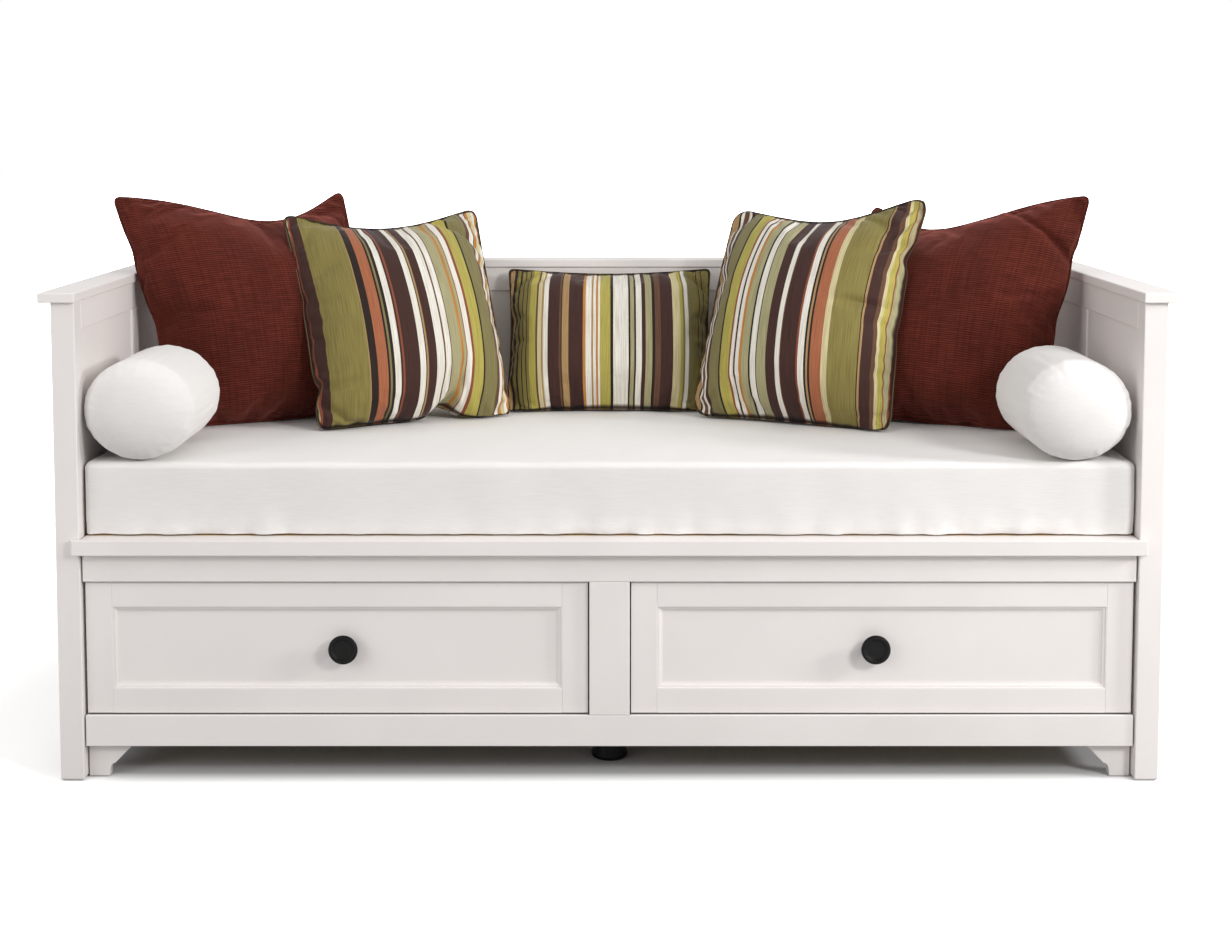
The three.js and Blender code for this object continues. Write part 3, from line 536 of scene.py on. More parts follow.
def make_pine(name, pattern="grain"):
    """Planed pine without finish: pale straw early wood between darker rings 5 mm apart,
    drawn out along the board, with a few knots the colour of honey."""
    material, node, place = start_material(name, pattern)
    bend = node("TexNoise", {"Vector": place, "Scale": 3.0, "Detail": 2.0}, out="Color")
    shifted = node("MixRGB", {"Fac": 0.012, "Color1": place, "Color2": bend})
    rings = node("TexWave", {
        "Vector": node("Mapping", {"Vector": shifted, "Scale": (0.9, 11, 11)}), "Scale": 5.5,
        "Distortion": 3.0, "Detail": 2.0, "Detail Scale": 0.7}, out="Fac", wave_type="RINGS")
    straw = node("ValToRGB", {"Fac": rings}, stops=[
        (0.2, "#e2c796"), (0.75, "#d8b47b"), (0.95, "#c39a60")])
    knots = node("TexVoronoi", {
        "Vector": node("Mapping", {"Vector": place, "Scale": (3.2, 9, 9)}), "Scale": 1.0})
    tone = shade_by(node, straw, knots, [(0.06, "#9a6a3a"), (0.13, "#ffffff")])
    fibre = draw_lines(node, place, (12, 900, 900))
    gloss = node("MapRange", {"Value": fibre, "To Min": 0.5, "To Max": 0.68})
    give_surface(node, fibre, 0.4, 0.0004, {"Base Color": tone, "Roughness": gloss, "IOR": 1.45})
    return material


planed_pine = make_pine("planed_pine")
lay_boards(("left_side_bearer", "right_side_bearer", "front_beam", "rear_bearer"),
           "planed", bearer_edge, planed_pine, "bedstead", "pine")
lay_boards(["pullout_rear_rail"], "planed", bearer_edge, planed_pine, "pullout", "pine")

fixed_low, fixed_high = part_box("fixed_slats")
slide_low, slide_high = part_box("sliding_slats")
batten_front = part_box("rear_bearer")[0].y
batten_back = slide_low.y + batten_width
fixed_boards, slide_boards = [], []
for k in range(slat_count):
    centre = (k - (slat_count - 1) / 2) * slat_pitch
    slide_boards.append(((centre - slat_width / 2, batten_back + batten_joint, fixed_low.z),
                         (centre + slat_width / 2, slide_high.y, slide_high.z)))
    if k:
        centre -= slat_pitch / 2
        fixed_boards.append(((centre - slat_width / 2, fixed_low.y, fixed_low.z),
                             (centre + slat_width / 2, batten_front - batten_joint, fixed_high.z)))
fixed_batten = ((fixed_low.x, batten_front, fixed_low.z), fixed_high)
slide_batten = (slide_low, (slide_high.x, batten_back, slide_high.z))
for name, body, slats, batten in (("fixed", "bedstead", fixed_boards, fixed_batten),
                                  ("sliding", "pullout", slide_boards, slide_batten)):
    add_boards(name + "_slats_planed", slats, slat_edge, planed_pine, body, "pine", [name + "_slats"])
    add_boards(name + "_batten_planed", [batten], slat_edge, planed_pine, body, "pine")

# Drawer fronts: two full stiles with two rails between them, a stepped moulding mitred
# round the opening, and a flat panel behind it.
drawer_stile = 0.05
drawer_rail = 0.047
drawer_edge = 0.0012
front_ease = 0.0004
joint_edge = 0.0006
# The moulding's section, by its distance in from the frame and its depth from the face.
moulding_section = (
    (0.0, 0.0006), (0.0012, 0.0004), (0.0018, 0.0008), (0.0019, 0.0030), (0.0034, 0.0031),
    (0.0050, 0.0034), (0.0066, 0.0042), (0.0077, 0.0053), (0.0081, 0.0068), (0.0106, 0.0070),
    (0.0110, 0.0073), (0.0112, 0.0080), (0.0112, 0.0140), (0.0, 0.0140))


def mitre_moulding(low, high, face, section):
    """A section carried round a rectangle. Each side has its own points at its two
    mitres, where the section's distance in is taken off both ways."""
    inset, depth = np.array(section).T
    count = len(depth)
    corner = np.array([(-1, -1), (1, -1), (1, 1), (-1, 1)])
    flat = (high + low) / 2 + corner[:, None] * ((high - low) / 2 - inset[:, None])
    loop = np.zeros((4, count, 3))
    loop[..., [0, 2]] = flat
    loop[..., 1] = face + depth
    sides = np.stack([loop, np.roll(loop, -1, axis=0)], 1)
    index = np.arange(8 * count).reshape(4, 2, count).swapaxes(1, 2)
    return sides.reshape(-1, 3), quad_faces(np.append(index, index[:, :1], 1))[:, ::-1]


for name in ("left_drawer", "right_drawer"):
    front = np.array(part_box(name + "_front_frame"))
    front += ((front_ease, 0, front_ease), (-front_ease, 0, -front_ease))
    inner = front + ((drawer_stile, 0, drawer_rail), (-drawer_stile, 0, -drawer_rail))
    (x0, y0, z0), (x3, y1, z3) = front
    (x1, _, z1), (x2, _, z2) = inner
    add_boards(name + "_stiles", [((x0, y0, z0), (x1, y1, z3)), ((x2, y0, z0), (x3, y1, z3))],
               drawer_edge, gap_paint, name, "white_paint", [name + "_front_frame"], gap_box=front)
    # The rails' ends show as a thin line down each joint, darkened there by painted shade where they meet
    # the stiles.
    add_boards(name + "_rails", [((x1, y0, z0), (x2, y1, z1)), ((x1, y0, z2), (x2, y1, z3))],
               joint_edge, gap_paint, name, "white_paint", gap_box=np.array(((x1, 0, z0), (x2, 0, z3))))
    moulding_points, moulding_faces = mitre_moulding(*inner[:, [0, 2]], y0, moulding_section)
    add_piece(name + "_moulding", moulding_points, moulding_faces, board_paint, name, "white_paint",
              grain=moulding_points + 1.7)
    add_boards(name + "_panel", [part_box(name + "_front_panel")], panel_edge, board_paint, name,
               "white_paint", [name + "_front_panel"])

# Knobs: turned wood under satin black lacquer, a mushroom with a raised rim round a
# sunken face, screwed on through the panel.
knob_profile = (
    (0.0, 0.0), (0.0125, 0.0), (0.0122, 0.0015), (0.0098, 0.004), (0.009, 0.008), (0.0096, 0.0115),
    (0.0135, 0.0145), (0.020, 0.0165), (0.0255, 0.0185), (0.0275, 0.0205), (0.028, 0.0225),
    (0.0278, 0.0245), (0.0266, 0.0262), (0.0246, 0.027), (0.0222, 0.0268), (0.0202, 0.0258),
    (0.0190, 0.0244), (0.0182, 0.0236), (0.0165, 0.0233), (0.008, 0.0236), (0.0, 0.0237))
knob_clear = 0.0002
knob_lacquer = make_black("black_lacquer", [(0.3, "#060606"), (0.7, "#0b0b0a")], 0.42, 0.0009)
for name in ("left_drawer", "right_drawer"):
    knob_x, _, knob_z = np.mean(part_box(name + "_knob"), axis=0)
    panel_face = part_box(name + "_front_panel")[0].y - knob_clear
    knob_points, knob_faces = turn_profile(knob_profile, (knob_x, panel_face, knob_z), 1, -1, 96)
    add_piece(name + "_knob_turned", knob_points, knob_faces, knob_lacquer, name, "black_knob",
              [name + "_knob"], crease=60)

# Drawer boxes: pine sides and back round a thin birch plywood bottom, on steel angles.
# They keep their packed form.
birch_ply, ply_node, ply_place = start_material("birch_plywood", 1)
ply_flame = draw_lines(ply_node, ply_place, (2.5, 40, 40), 4.0)
ply_tone = ply_node("ValToRGB", {"Fac": ply_flame}, stops=[(0.35, "#d9bf93"), (0.65, "#cdae7f")])
ply_pores = draw_lines(ply_node, ply_place, (35, 560, 560))
give_surface(ply_node, ply_pores, 0.3, 0.0003, {"Base Color": ply_tone, "Roughness": 0.6, "IOR": 1.45})

# Cold rolled steel under a thin clear zinc coat: fine lines of the rolling along it.
runner_steel, steel_node, steel_place = start_material("zinc_coated_steel", 1)
steel_lines = draw_lines(steel_node, steel_place, (8, 900, 900))
steel_tone = steel_node("ValToRGB", {"Fac": steel_lines}, stops=[(0.3, "#b3b7ba"), (0.7, "#c6c9cb")])
steel_gloss = steel_node("MapRange", {"Value": steel_lines, "To Min": 0.28, "To Max": 0.42})
steel_face = steel_node("BsdfPrincipled", {
    "Base Color": steel_tone, "Metallic": 1.0, "Roughness": steel_gloss})
steel_node("OutputMaterial", {"Surface": steel_face})

side_pine = make_pine("planed_pine_lengthwise", 1)
back_pine = make_pine("planed_pine_crosswise", 0)
for side in ("left", "right"):
    dress((side + "_drawer_inner_side", side + "_drawer_outer_side"), side_pine)
    dress([side + "_drawer_back"], back_pine)
    dress([side + "_drawer_bottom"], birch_ply)
    dress((side + "_inner_runner", side + "_outer_runner"), runner_steel)

# Mattress: a foam slab in a woven linen-look cover, full at the top and drawn under at
# the foot, where the hem wrinkles along the front.
mattress_round = np.array((0.013, 0.017, 0.014))
mattress_spacing = 0.010
mattress_low, mattress_high = np.array(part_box("mattress"))
cover_inset = 0.0022
cover_tuck = 0.002
tuck_top = 0.3
cover_belly = 0.0015
cover_clear = 0.0002
hem_top = 0.45
hem_squash = 0.65
hem_fade = 0.03
# Waves of the cover: how much the height counts, their length, their seed and depth.
hem_waves = ((0.25, 0.06, 3, 0.0065), (1.6, 0.035, 4, 0.0042))
slack_waves = ((1, 0.35, 5, 0.0020), (1, 0.12, 8, 0.0010))
# A wave texture of scale 1 repeats every 0.314 m.
wave_repeat = 0.314


def ripple(points, size, seed, waves=10):
    """Soft waves over points: the mean of sines that run in scattered directions, each
    about as long as the size, between -1 and 1."""
    chance = np.random.default_rng(seed)
    way = chance.normal(size=(3, waves))
    way /= np.linalg.norm(way, axis=0)
    way *= 2 * np.pi / size * chance.uniform(0.7, 1.5, waves)
    return np.sin(points @ way + chance.uniform(0, 6.3, waves)).sum(1) / math.sqrt(waves) / 1.6


def shape_slab(low, high, radius, spacing):
    """A slab with round edges and corners: a point of the outer box goes to the nearest
    point of the core, which is smaller by the radius all round, plus the radius along the
    way between the two. Grids on the six faces meet in shared points."""
    half = (high - low) / 2
    core = half - radius
    ticks = []
    for axis in range(3):
        bend = core[axis] + radius[axis] * np.tan(np.radians(np.linspace(0, 45, 6)))
        count = max(int(core[axis] * 2 / spacing), 4)
        inner = np.linspace(-core[axis], core[axis], count + 1)[1:-1]
        ticks.append(np.concatenate([-bend[::-1], inner, bend]))
    shells, quads, total = [], [], 0
    for axis in range(3):
        first, second = (axis + 1) % 3, (axis + 2) % 3
        a, b = np.meshgrid(ticks[first], ticks[second], indexing="ij")
        for way in (-1, 1):
            shell = np.zeros((*a.shape, 3))
            shell[..., axis], shell[..., first], shell[..., second] = way * half[axis], a, b
            shells.append(shell.reshape(-1, 3))
            index = total + np.arange(a.size).reshape(a.shape)
            quads.append(quad_faces(index.T)[:, ::way])
            total += a.size
    box_points = np.concatenate(shells)
    nearest = np.clip(box_points, -core, core)
    way = (box_points - nearest) / radius
    way /= np.linalg.norm(way, axis=1, keepdims=True)
    _, keep, back = np.unique(np.round(box_points, 6), axis=0, return_index=True, return_inverse=True)
    points = (high + low) / 2 + nearest[keep] + way[keep] * radius
    return points, back.ravel()[np.concatenate(quads)], way[keep]


def weave_cloth(node, tone, place, thread, depth, roughness, sheen, bloom="#ffffff"):
    """Ends a woven cloth: threads that cross over and under each other at the given
    spacing, uneven in height, and a soft bloom of loose fibres seen edge on."""
    warp, weft = (node("TexWave", {"Vector": place, "Scale": wave_repeat / thread, "Distortion": 0.6},
                       out="Fac", bands_direction=way) for way in "XY")
    crossing = node("Math", {0: warp, 1: weft}, operation="MULTIPLY")
    wobble = node("TexNoise", {"Vector": place, "Scale": 60.0, "Detail": 2.0})
    give_surface(node, node("Mix", {"Factor": 0.4, "A": crossing, "B": wobble}), 0.5, depth, {
        "Base Color": tone, "Roughness": roughness, "Sheen Weight": sheen, "Sheen Roughness": 0.45,
        "Sheen Tint": srgb(bloom), "Specular IOR Level": 0.2})


def loosen_cover(points, out):
    """Moves the slab's points along their way out. The hem has short folds that stand
    upright, strongest at the foot and gone at half height, the cover is a little loose all
    over, and its sides are tucked under at the foot and belly out by half a sine."""
    height = points[:, 2] - mattress_low[2]
    share = height / (mattress_high[2] - mattress_low[2])
    at_side = np.abs(out[:, 1]) * (np.abs(out[:, 2]) < 0.9)
    folds, slack = (
        sum(ripple(points * (1, 1, upright), size, seed) * depth for upright, size, seed, depth in waves)
        for waves in (hem_waves, slack_waves))
    folds *= np.clip(1 - share / hem_top, 0, 1) ** 1.3 * (0.6 + 0.4 * ripple(points, 0.5, 6))
    tuck_under = -cover_tuck * np.clip(1 - share / tuck_top, 0, 1) ** 2 * at_side
    belly = cover_belly * np.sin(np.clip(share, 0, 1) * np.pi) * at_side
    lift = folds * at_side + slack - cover_inset + tuck_under + belly
    points = points + out * lift[:, None]
    # The hem's roll is flatter than the edge at the top, and fades out above itself.
    roll = mattress_round[2]
    height = np.maximum(points[:, 2] - mattress_low[2], 0)
    drop = np.where(height < roll, height, roll * np.exp(-(height - roll) / hem_fade)) * hem_squash
    points[:, 2] = np.clip(points[:, 2] - drop, mattress_low[2] + cover_clear, mattress_high[2])
    return points


linen, linen_node, linen_place = start_material("bleached_linen", 0)
linen_turned = linen_node("Mapping", {"Vector": linen_place, "Rotation": (0.9, 0, 0)})
linen_slub = draw_lines(linen_node, linen_place, (30, 400, 400))
linen_tone = linen_node("ValToRGB", {"Fac": linen_slub}, stops=[(0.3, "#e9e6e3"), (0.7, "#edeae8")])
# The thread is 0.6 mm; it is drawn at 1.4 mm so that it shows.
weave_cloth(linen_node, linen_tone, linen_turned, thread=0.0014, depth=0.0005, roughness=0.85, sheen=0.15)
slab_points, slab_faces, slab_out = shape_slab(
    mattress_low, mattress_high, mattress_round, mattress_spacing)
mattress = add_piece("mattress_cover", loosen_cover(slab_points, slab_out), slab_faces, linen, "bedstead",
                     "white_linen", ["mattress"], crease=80)

# Bolsters: round cushions in the same linen, filled with fibre. They sag a little under
# their own weight, their ends dome out inside the seam, and the cloth puckers there.
bolster_sides = 96
bolster_barrel = 14
bolster_end = 0.058
bolster_flat = 0.0006
bolster_pucker = 0.0060
bolster_stitch = 0.016
bolster_waves = 0.011
bolster_most = 1.012
bolster_folds = (13, 21, 29, 37)
rim_power, dome_power = 0.86, 0.9
seam_share = 0.62
pucker_fade = 0.022
stitch_fade = 0.0035
wave_size = 0.16


def shape_bolster(low, high, seed):
    """A profile carried round the bolster's own axis, which runs front to back. Along
    each end the radius is the sine and the reach the cosine of an angle from 0 to 90
    degrees, raised to a power below one so that the rim stands fuller. Puckers run out
    from each rim and die away within 50 mm, and soft waves loosen the whole."""
    radius = (high - low)[[0, 2]] / 2 - 0.001
    length = high[1] - low[1]
    angle = np.radians(np.linspace(0, 90, 17))[1:]
    end_radius = np.sin(angle) ** rim_power
    end_depth = bolster_end * (1 - np.cos(angle) ** dome_power)
    barrel = np.linspace(bolster_end, length - bolster_end, bolster_barrel)[1:-1]
    depth = np.concatenate([[0], end_depth, barrel, length - end_depth[::-1], [length]])
    share = np.concatenate([[0], end_radius, np.ones(len(barrel)), end_radius[::-1], [0]])
    profile = np.stack([share, depth - length / 2], 1)
    points, faces = turn_profile(profile, (0, 0, 0), 1, 1, bolster_sides)
    around = np.arctan2(points[:, 0], points[:, 2])
    from_seam = np.abs(np.abs(points[:, 1]) - (length / 2 - bolster_end * seam_share))
    near_seam = np.exp(-(from_seam / pucker_fade) ** 2)
    chance = np.random.default_rng(seed)
    folds = sum(np.sin(around * k + chance.uniform(0, 6.3)) * chance.uniform(0.3, 1)
                for k in bolster_folds)
    stitched = np.exp(-(from_seam / stitch_fade) ** 2)
    swell = 1 + near_seam * folds * bolster_pucker - stitched * bolster_stitch
    swell += ripple(points + seed, wave_size, seed) * bolster_waves
    points[:, [0, 2]] *= radius * np.minimum(swell, bolster_most)[:, None]
    points[:, 1] *= 0.992 + 0.008 * ripple(points[:, [0, 2, 2]], 0.15, seed + 1)
    points += (low + high) / 2
    points[:, 2] = np.maximum(points[:, 2], mattress_high[2] + bolster_flat)
    return points, faces


def finish_pad(piece):
    """Subdivides a padded piece once."""
    fine = piece.modifiers.new("fine", "SUBSURF")
    fine.levels = fine.render_levels = 1


for name, seed in (("left_bolster", 11), ("right_bolster", 23)):
    bolster_points, bolster_faces = shape_bolster(*np.array(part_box(name)), seed)
    bolster = add_piece(name + "_cover", bolster_points, bolster_faces, linen, "bedstead", "white_linen",
                        [name], crease=80)
    finish_pad(bolster)

# Plain cushions: rust coloured cotton with a slubbed rib across it, a zipped cover over a
# feather pad. Their corners stand up and the top seam dips where the pad settles.
cushion_cells = 84
cushion_fill = 4.0
cushion_slack = -0.05
cushion_frames = 20
cushion_most = 0.022
cushion_puff = 1.05
cushion_press = 0.004
press_step = 0.004
press_steps = 45
touch_from = 0.002
touch_held = 0.85
overhang_share = 0.8
seam_width = 0.0045
seam_half = 0.0008
seam_calm = 0.012
pucker_reach = 0.028
pucker_size = 0.045
arm_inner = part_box("right_front_post")[0].x
back_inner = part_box("back_top_rail")[0].y
cap_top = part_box("back_cap")[1].z
mattress_top = mattress_high[2]


def smooth_step(value, start, end):
    """0 before start, 1 after end, and 3 t squared less 2 t cubed between them."""
    t = np.clip((value - start) / (end - start), 0, 1)
    return t * t * (3 - 2 * t)


def turned(x, y, angle):
    """x and y turned by an angle about the third axis."""
    return x * np.cos(angle) - y * np.sin(angle), x * np.sin(angle) + y * np.cos(angle)


def shape_cushion(size, pose, form):
    """Two crowned faces that share the points of the seam. a and b run from -90 to 90
    degrees across and up the cushion, u is sin a and v is sin b. Across is the half width
    times u, drawn in by a share times 1 - v squared. Up is the half height times 1 + v,
    drawn in alike, less the dip times v and (1 - w squared) to 1.5 above the middle, where
    w is u moved over by dip_at. Out is half the thickness times the root of (1 - u squared)
    (1 - s squared), s being v moved up by low, so that the filling lies low, plus the
    forward bend times 1 - v squared. The corners are turned on a radius, the seam stands
    flat round the crown, each ear leans back, rises and spreads by its amounts times two
    smooth steps, and each fold is a groove (1 - 1.3 t squared) times e to the minus t
    squared. A notch draws the seam toward the middle by a share that dies away from its
    place. The top is twisted against the bottom, and the whole is leant back, turned and
    set in its place."""
    width, height, thickness, dip, draw = size
    x_place, from_back, yaw, lean, twist, tuck = pose
    angle = np.linspace(-0.5, 0.5, cushion_cells + 1) * np.pi
    b, a = np.meshgrid(angle, angle, indexing="ij")
    u, v = np.sin(a), np.sin(b)
    index = np.arange(u.size).reshape(u.shape)
    inside = np.zeros(u.shape, bool)
    inside[1:-1, 1:-1] = True
    # The seam: both faces lie flat for its width.
    crown_u, crown_v = (np.clip(w / (1 - 2 * seam_width / side), -1, 1)
                        for w, side in ((u, width), (v, height)))
    low_v = crown_v + form["low"] * (1 - crown_v ** 2)
    crown = ((1 - crown_u ** 2) * (1 - low_v ** 2)).clip(0) ** (cushion_puff / 2)
    dip_u = u - form["dip_at"] * (1 - u * u)
    flat_x = width / 2 * u * (1 - draw * (1 - v * v))
    flat_z = height / 2 * (1 + v * (1 - draw * (1 - u * u)))
    flat_z -= np.maximum(v, 0) * dip * (1 - dip_u ** 2) ** 1.5
    # Corners: what lies past the start of the radius on both sides keeps its direction
    # and goes onto the quarter circle.
    radius = form["corner"]
    past_x = np.maximum(np.abs(u) * width / 2 - (width / 2 - radius), 0)
    past_z = np.maximum(np.abs(v) * height / 2 - (height / 2 - radius), 0)
    bend = np.maximum(past_x, past_z) / np.maximum(np.hypot(past_x, past_z), 1e-9) - 1
    bend = np.where((past_x > 0) & (past_z > 0), bend, 0)
    flat_x = flat_x + np.sign(u) * past_x * bend
    flat_z = flat_z + np.sign(v) * past_z * bend
    from_seam = np.minimum(width / 2 * (1 - np.abs(u)), height / 2 * (1 - np.abs(v)))
    cloth_x, cloth_z = flat_x, flat_z
    for notch_u, notch_v, reach, share in form["notches"]:
        off = np.hypot(cloth_x - notch_u * width / 2, cloth_z - height / 2 * (1 + notch_v))
        draw_in = share * np.exp(-(off / reach) ** 2)
        flat_x = flat_x * (1 - draw_in)
        flat_z = flat_z + (height / 2 - flat_z) * draw_in
    shift = form["forward"] * (1 - v * v)
    for ear_side, ear_back, ear_rise, ear_spread in form["ears"]:
        bent = smooth_step(ear_side * u, 0.1, 1) * smooth_step(v, 0.2, 1)
        shift = shift - ear_back * bent
        flat_x = flat_x + ear_side * ear_spread * bent
        flat_z = flat_z + ear_rise * bent
    grooves = np.zeros_like(u)
    for fold_u, fold_v, slant, length, breadth, depth in form["folds"]:
        along, beside = turned(
            cloth_x - fold_u * width / 2, cloth_z - height / 2 * (1 + fold_v), -math.radians(slant))
        t = beside / breadth
        grooves += depth * (1 - 1.3 * t * t) * np.exp(-t * t - (along / length) ** 2)
    grooves *= smooth_step(from_seam, 0, seam_calm)
    across = flat_x + tuck * (1 - v) * (1 - np.sign(tuck) * u) / 4
    shells = []
    for face, grooved in ((-1, grooves), (1, 0)):
        out = face * (thickness / 2 * crown + np.where(inside, seam_half, 0)) - shift + grooved
        x, y = turned(across, out, math.radians(twist) * v / 2)
        y, z = turned(y, flat_z, math.radians(-lean))
        x, y = turned(x, y, math.radians(yaw))
        shells.append(np.stack(
            [x + x_place, y + back_inner - from_back, z + mattress_top - cushion_press], -1))
    back_index = index.copy()
    back_index[inside] = index.size + np.arange(inside.sum())
    quads = np.concatenate([quad_faces(index), quad_faces(back_index)[:, ::-1]])
    # The cloth's own flat place, with the back face's pattern shifted from the front's.
    cloth, back_cloth = (np.stack([cloth_x, cloth_z, np.full_like(u, level)], -1) for level in (0, 0.37))
    points, cloth, from_seam = (
        np.concatenate([front.reshape(index.size, -1), back[inside].reshape(inside.sum(), -1)])
        for front, back in (shells, (cloth, back_cloth), (from_seam, from_seam)))
    return points, quads, cloth, from_seam.ravel(), back_index


def own_place(points, size, pose):
    """Where points are in a cushion's own upright frame: u, v and how far out of its
    middle. u and v are found from across and up in three rounds, because each depends a
    little on the other."""
    width, height, thickness, dip, draw = size
    x_place, from_back, yaw, lean, twist, tuck = pose
    x, y, z = (points - (x_place, back_inner - from_back, mattress_top - cushion_press)).T
    x, y = turned(x, y, math.radians(-yaw))
    y, z = turned(y, z, math.radians(lean))
    u, v = np.zeros_like(x), z / (height / 2) - 1
    for _ in range(3):
        across, out = turned(x, y, -math.radians(twist) * np.clip(v, -1, 1) / 2)
        pull = tuck * (1 - v) * (1 - np.sign(tuck) * u) / 4
        u = np.clip((across - pull) / (width / 2 * (1 - draw * (1 - v * v))), -1.2, 1.2)
        up = z + np.maximum(v, 0) * dip * (1 - u * u)
        v = np.clip((up / (height / 2) - 1) / (1 - draw * (1 - u * u)), -1.2, 1.2)
    return u, v, out


def stand_out(points, laid):
    """How far points stand outside a cushion that is laid already, below 0 inside it: its
    two faces' distance from its middle is read between the points of its own grid."""
    size, pose, faces_out = laid
    u, v, out = own_place(points, size, pose)
    i, j = ((np.arcsin(np.clip(w, -1, 1)) / np.pi + 0.5) * cushion_cells for w in (u, v))
    i0, j0 = (np.minimum(k.astype(int), cushion_cells - 1) for k in (i, j))
    fi, fj = i - i0, j - j0
    front, back = (
        (grid[j0, i0] * (1 - fi) + grid[j0, i0 + 1] * fi) * (1 - fj)
        + (grid[j0 + 1, i0] * (1 - fi) + grid[j0 + 1, i0 + 1] * fi) * fj for grid in faces_out)
    return np.where((np.abs(u) < 1) & (np.abs(v) < 1), np.maximum(front - out, out - back), 1)


def forward_of(pose):
    """The way that the front of a cushion in this pose faces."""
    y, z = turned(1, 0, math.radians(-pose[3]))
    x, y = turned(0, y, math.radians(pose[2]))
    return -np.array((x, y, z))


def press_into_place(points, pose, neighbours, gap=0.001):
    """Presses a cushion against the ones that it leans on: a point inside one of them
    moves forward, square to its own cover, in steps of 4 mm until it is out of all, and
    then back by halves. Gives the points and 1 where they touch."""
    if not neighbours:
        return points, np.zeros(len(points))
    forward = forward_of(pose)

    def is_clear(moved):
        place = points + moved[:, None] * forward
        return np.min([stand_out(place, laid) for laid in neighbours], axis=0) >= gap

    moved = np.zeros(len(points))
    touched = ~is_clear(moved)
    inside = touched.copy()
    for _ in range(press_steps):
        moved[inside] += press_step
        inside &= ~is_clear(moved)
    for halves in (2, 4, 8, 16):
        step = press_step / halves
        moved = np.where(touched & is_clear(moved - step), moved - step, moved)
    return points + moved[:, None] * forward, (moved > touch_from).astype(float)


def fill_cover(points, faces, from_seam, pressed):
    """Fills the cover with feathers: a cloth a little larger than its pattern swells
    under an even pressure and wrinkles where the seam and what it leans on hold it. The
    points are where the last frame leaves them, but none moves further than its limit."""
    mesh = bpy.data.meshes.new("cover_pattern")
    mesh.from_pydata(points.tolist(), [], faces.tolist())
    cover = bpy.data.objects.new("cover_pattern", mesh)
    bpy.context.scene.collection.objects.link(cover)
    seam = from_seam < seam_width * 1.05
    held = cover.vertex_groups.new(name="held")
    held.add(np.flatnonzero(seam).tolist(), 1.0, "REPLACE")
    held.add(np.flatnonzero((pressed > 0.5) & ~seam).tolist(), touch_held, "REPLACE")
    cloth = cover.modifiers.new("cloth", "CLOTH")
    for key, value in {
            "quality": 5, "mass": 0.25, "tension_stiffness": 18, "compression_stiffness": 18,
            "shear_stiffness": 8, "bending_stiffness": 0.3, "air_damping": 2, "use_pressure": True,
            "uniform_pressure_force": cushion_fill, "vertex_group_mass": "held",
            "shrink_min": cushion_slack}.items():
        setattr(cloth.settings, key, value)
    cloth.settings.effector_weights.gravity = 0
    cloth.collision_settings.use_collision = False
    cloth.point_cache.frame_start, cloth.point_cache.frame_end = 1, cushion_frames
    for frame_number in range(1, cushion_frames + 1):
        bpy.context.scene.frame_set(frame_number)
    graph = bpy.context.evaluated_depsgraph_get()
    graph.update()
    filled = np.zeros(points.size, np.float32)
    cover.evaluated_get(graph).data.vertices.foreach_get("co", filled)
    bpy.data.objects.remove(cover)
    bpy.data.meshes.remove(mesh)
    bpy.context.scene.frame_set(1)
    shift = filled.reshape(-1, 3).astype(float) - points
    far = np.linalg.norm(shift, axis=1, keepdims=True)
    return points + shift * np.minimum(1, cushion_most / np.maximum(far, 1e-9))


def pucker_seams(points, cloth, from_seam, pose, depth, seed):
    """Gathers the cloth at the seam: short folds that run square to it and die away
    within 30 mm, as ripples of the height along the sides and of the distance across
    along the top and the bottom, and wide soft waves over the whole face."""
    wide = np.abs(cloth[:, 0]).max()
    at_side = np.exp(-(wide - np.abs(cloth[:, 0])) / pucker_reach)
    folds = at_side * ripple(cloth * (0.25, 1, 1), pucker_size, seed)
    at_ends = np.exp(-from_seam / pucker_reach) * (1 - at_side)
    folds += at_ends * ripple(cloth * (1, 0.25, 1), pucker_size, seed + 1)
    waves = ripple(cloth, wave_size, seed + 2) * 0.6
    lift = (folds + waves) * depth * (0.3 + 0.7 * smooth_step(from_seam, 0, seam_calm))
    back = cloth[:, 2] > 0.2
    return points + forward_of(pose) * np.where(back, -lift, lift)[:, None]


def keep_clear(points, bolster, gap=0.0008):
    """Keeps a cushion off a bolster, over the mattress and inside the arms and the back. A
    point in the bolster moves out from its axis to its face. Above the cap a cushion may
    hang over it."""
    if bolster:
        low, high = np.array(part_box(bolster))
        half = (high - low) / 2 + gap
        offset = points - (low + high) / 2
        past = np.sign(offset[:, 1]) * np.maximum(np.abs(offset[:, 1]) - half[1] + bolster_end, 0)
        core = offset[:, 1] - past
        scaled = np.stack([offset[:, 0] / half[0], past / bolster_end, offset[:, 2] / half[2]], 1)
        grow = 1 / np.clip(np.linalg.norm(scaled, axis=1), 0.05, 1)
        points = (low + high) / 2 + np.stack(
            [offset[:, 0] * grow, core + past * grow, offset[:, 2] * grow], 1)
    over_cap = np.maximum(points[:, 2] - cap_top - gap, 0) * overhang_share - gap
    points[:, 0] = np.clip(points[:, 0], -arm_inner - over_cap, arm_inner + over_cap)
    points[:, 1] = np.minimum(points[:, 1], back_inner + over_cap)
    points[:, 2] = np.maximum(points[:, 2], mattress_top + gap)
    return points


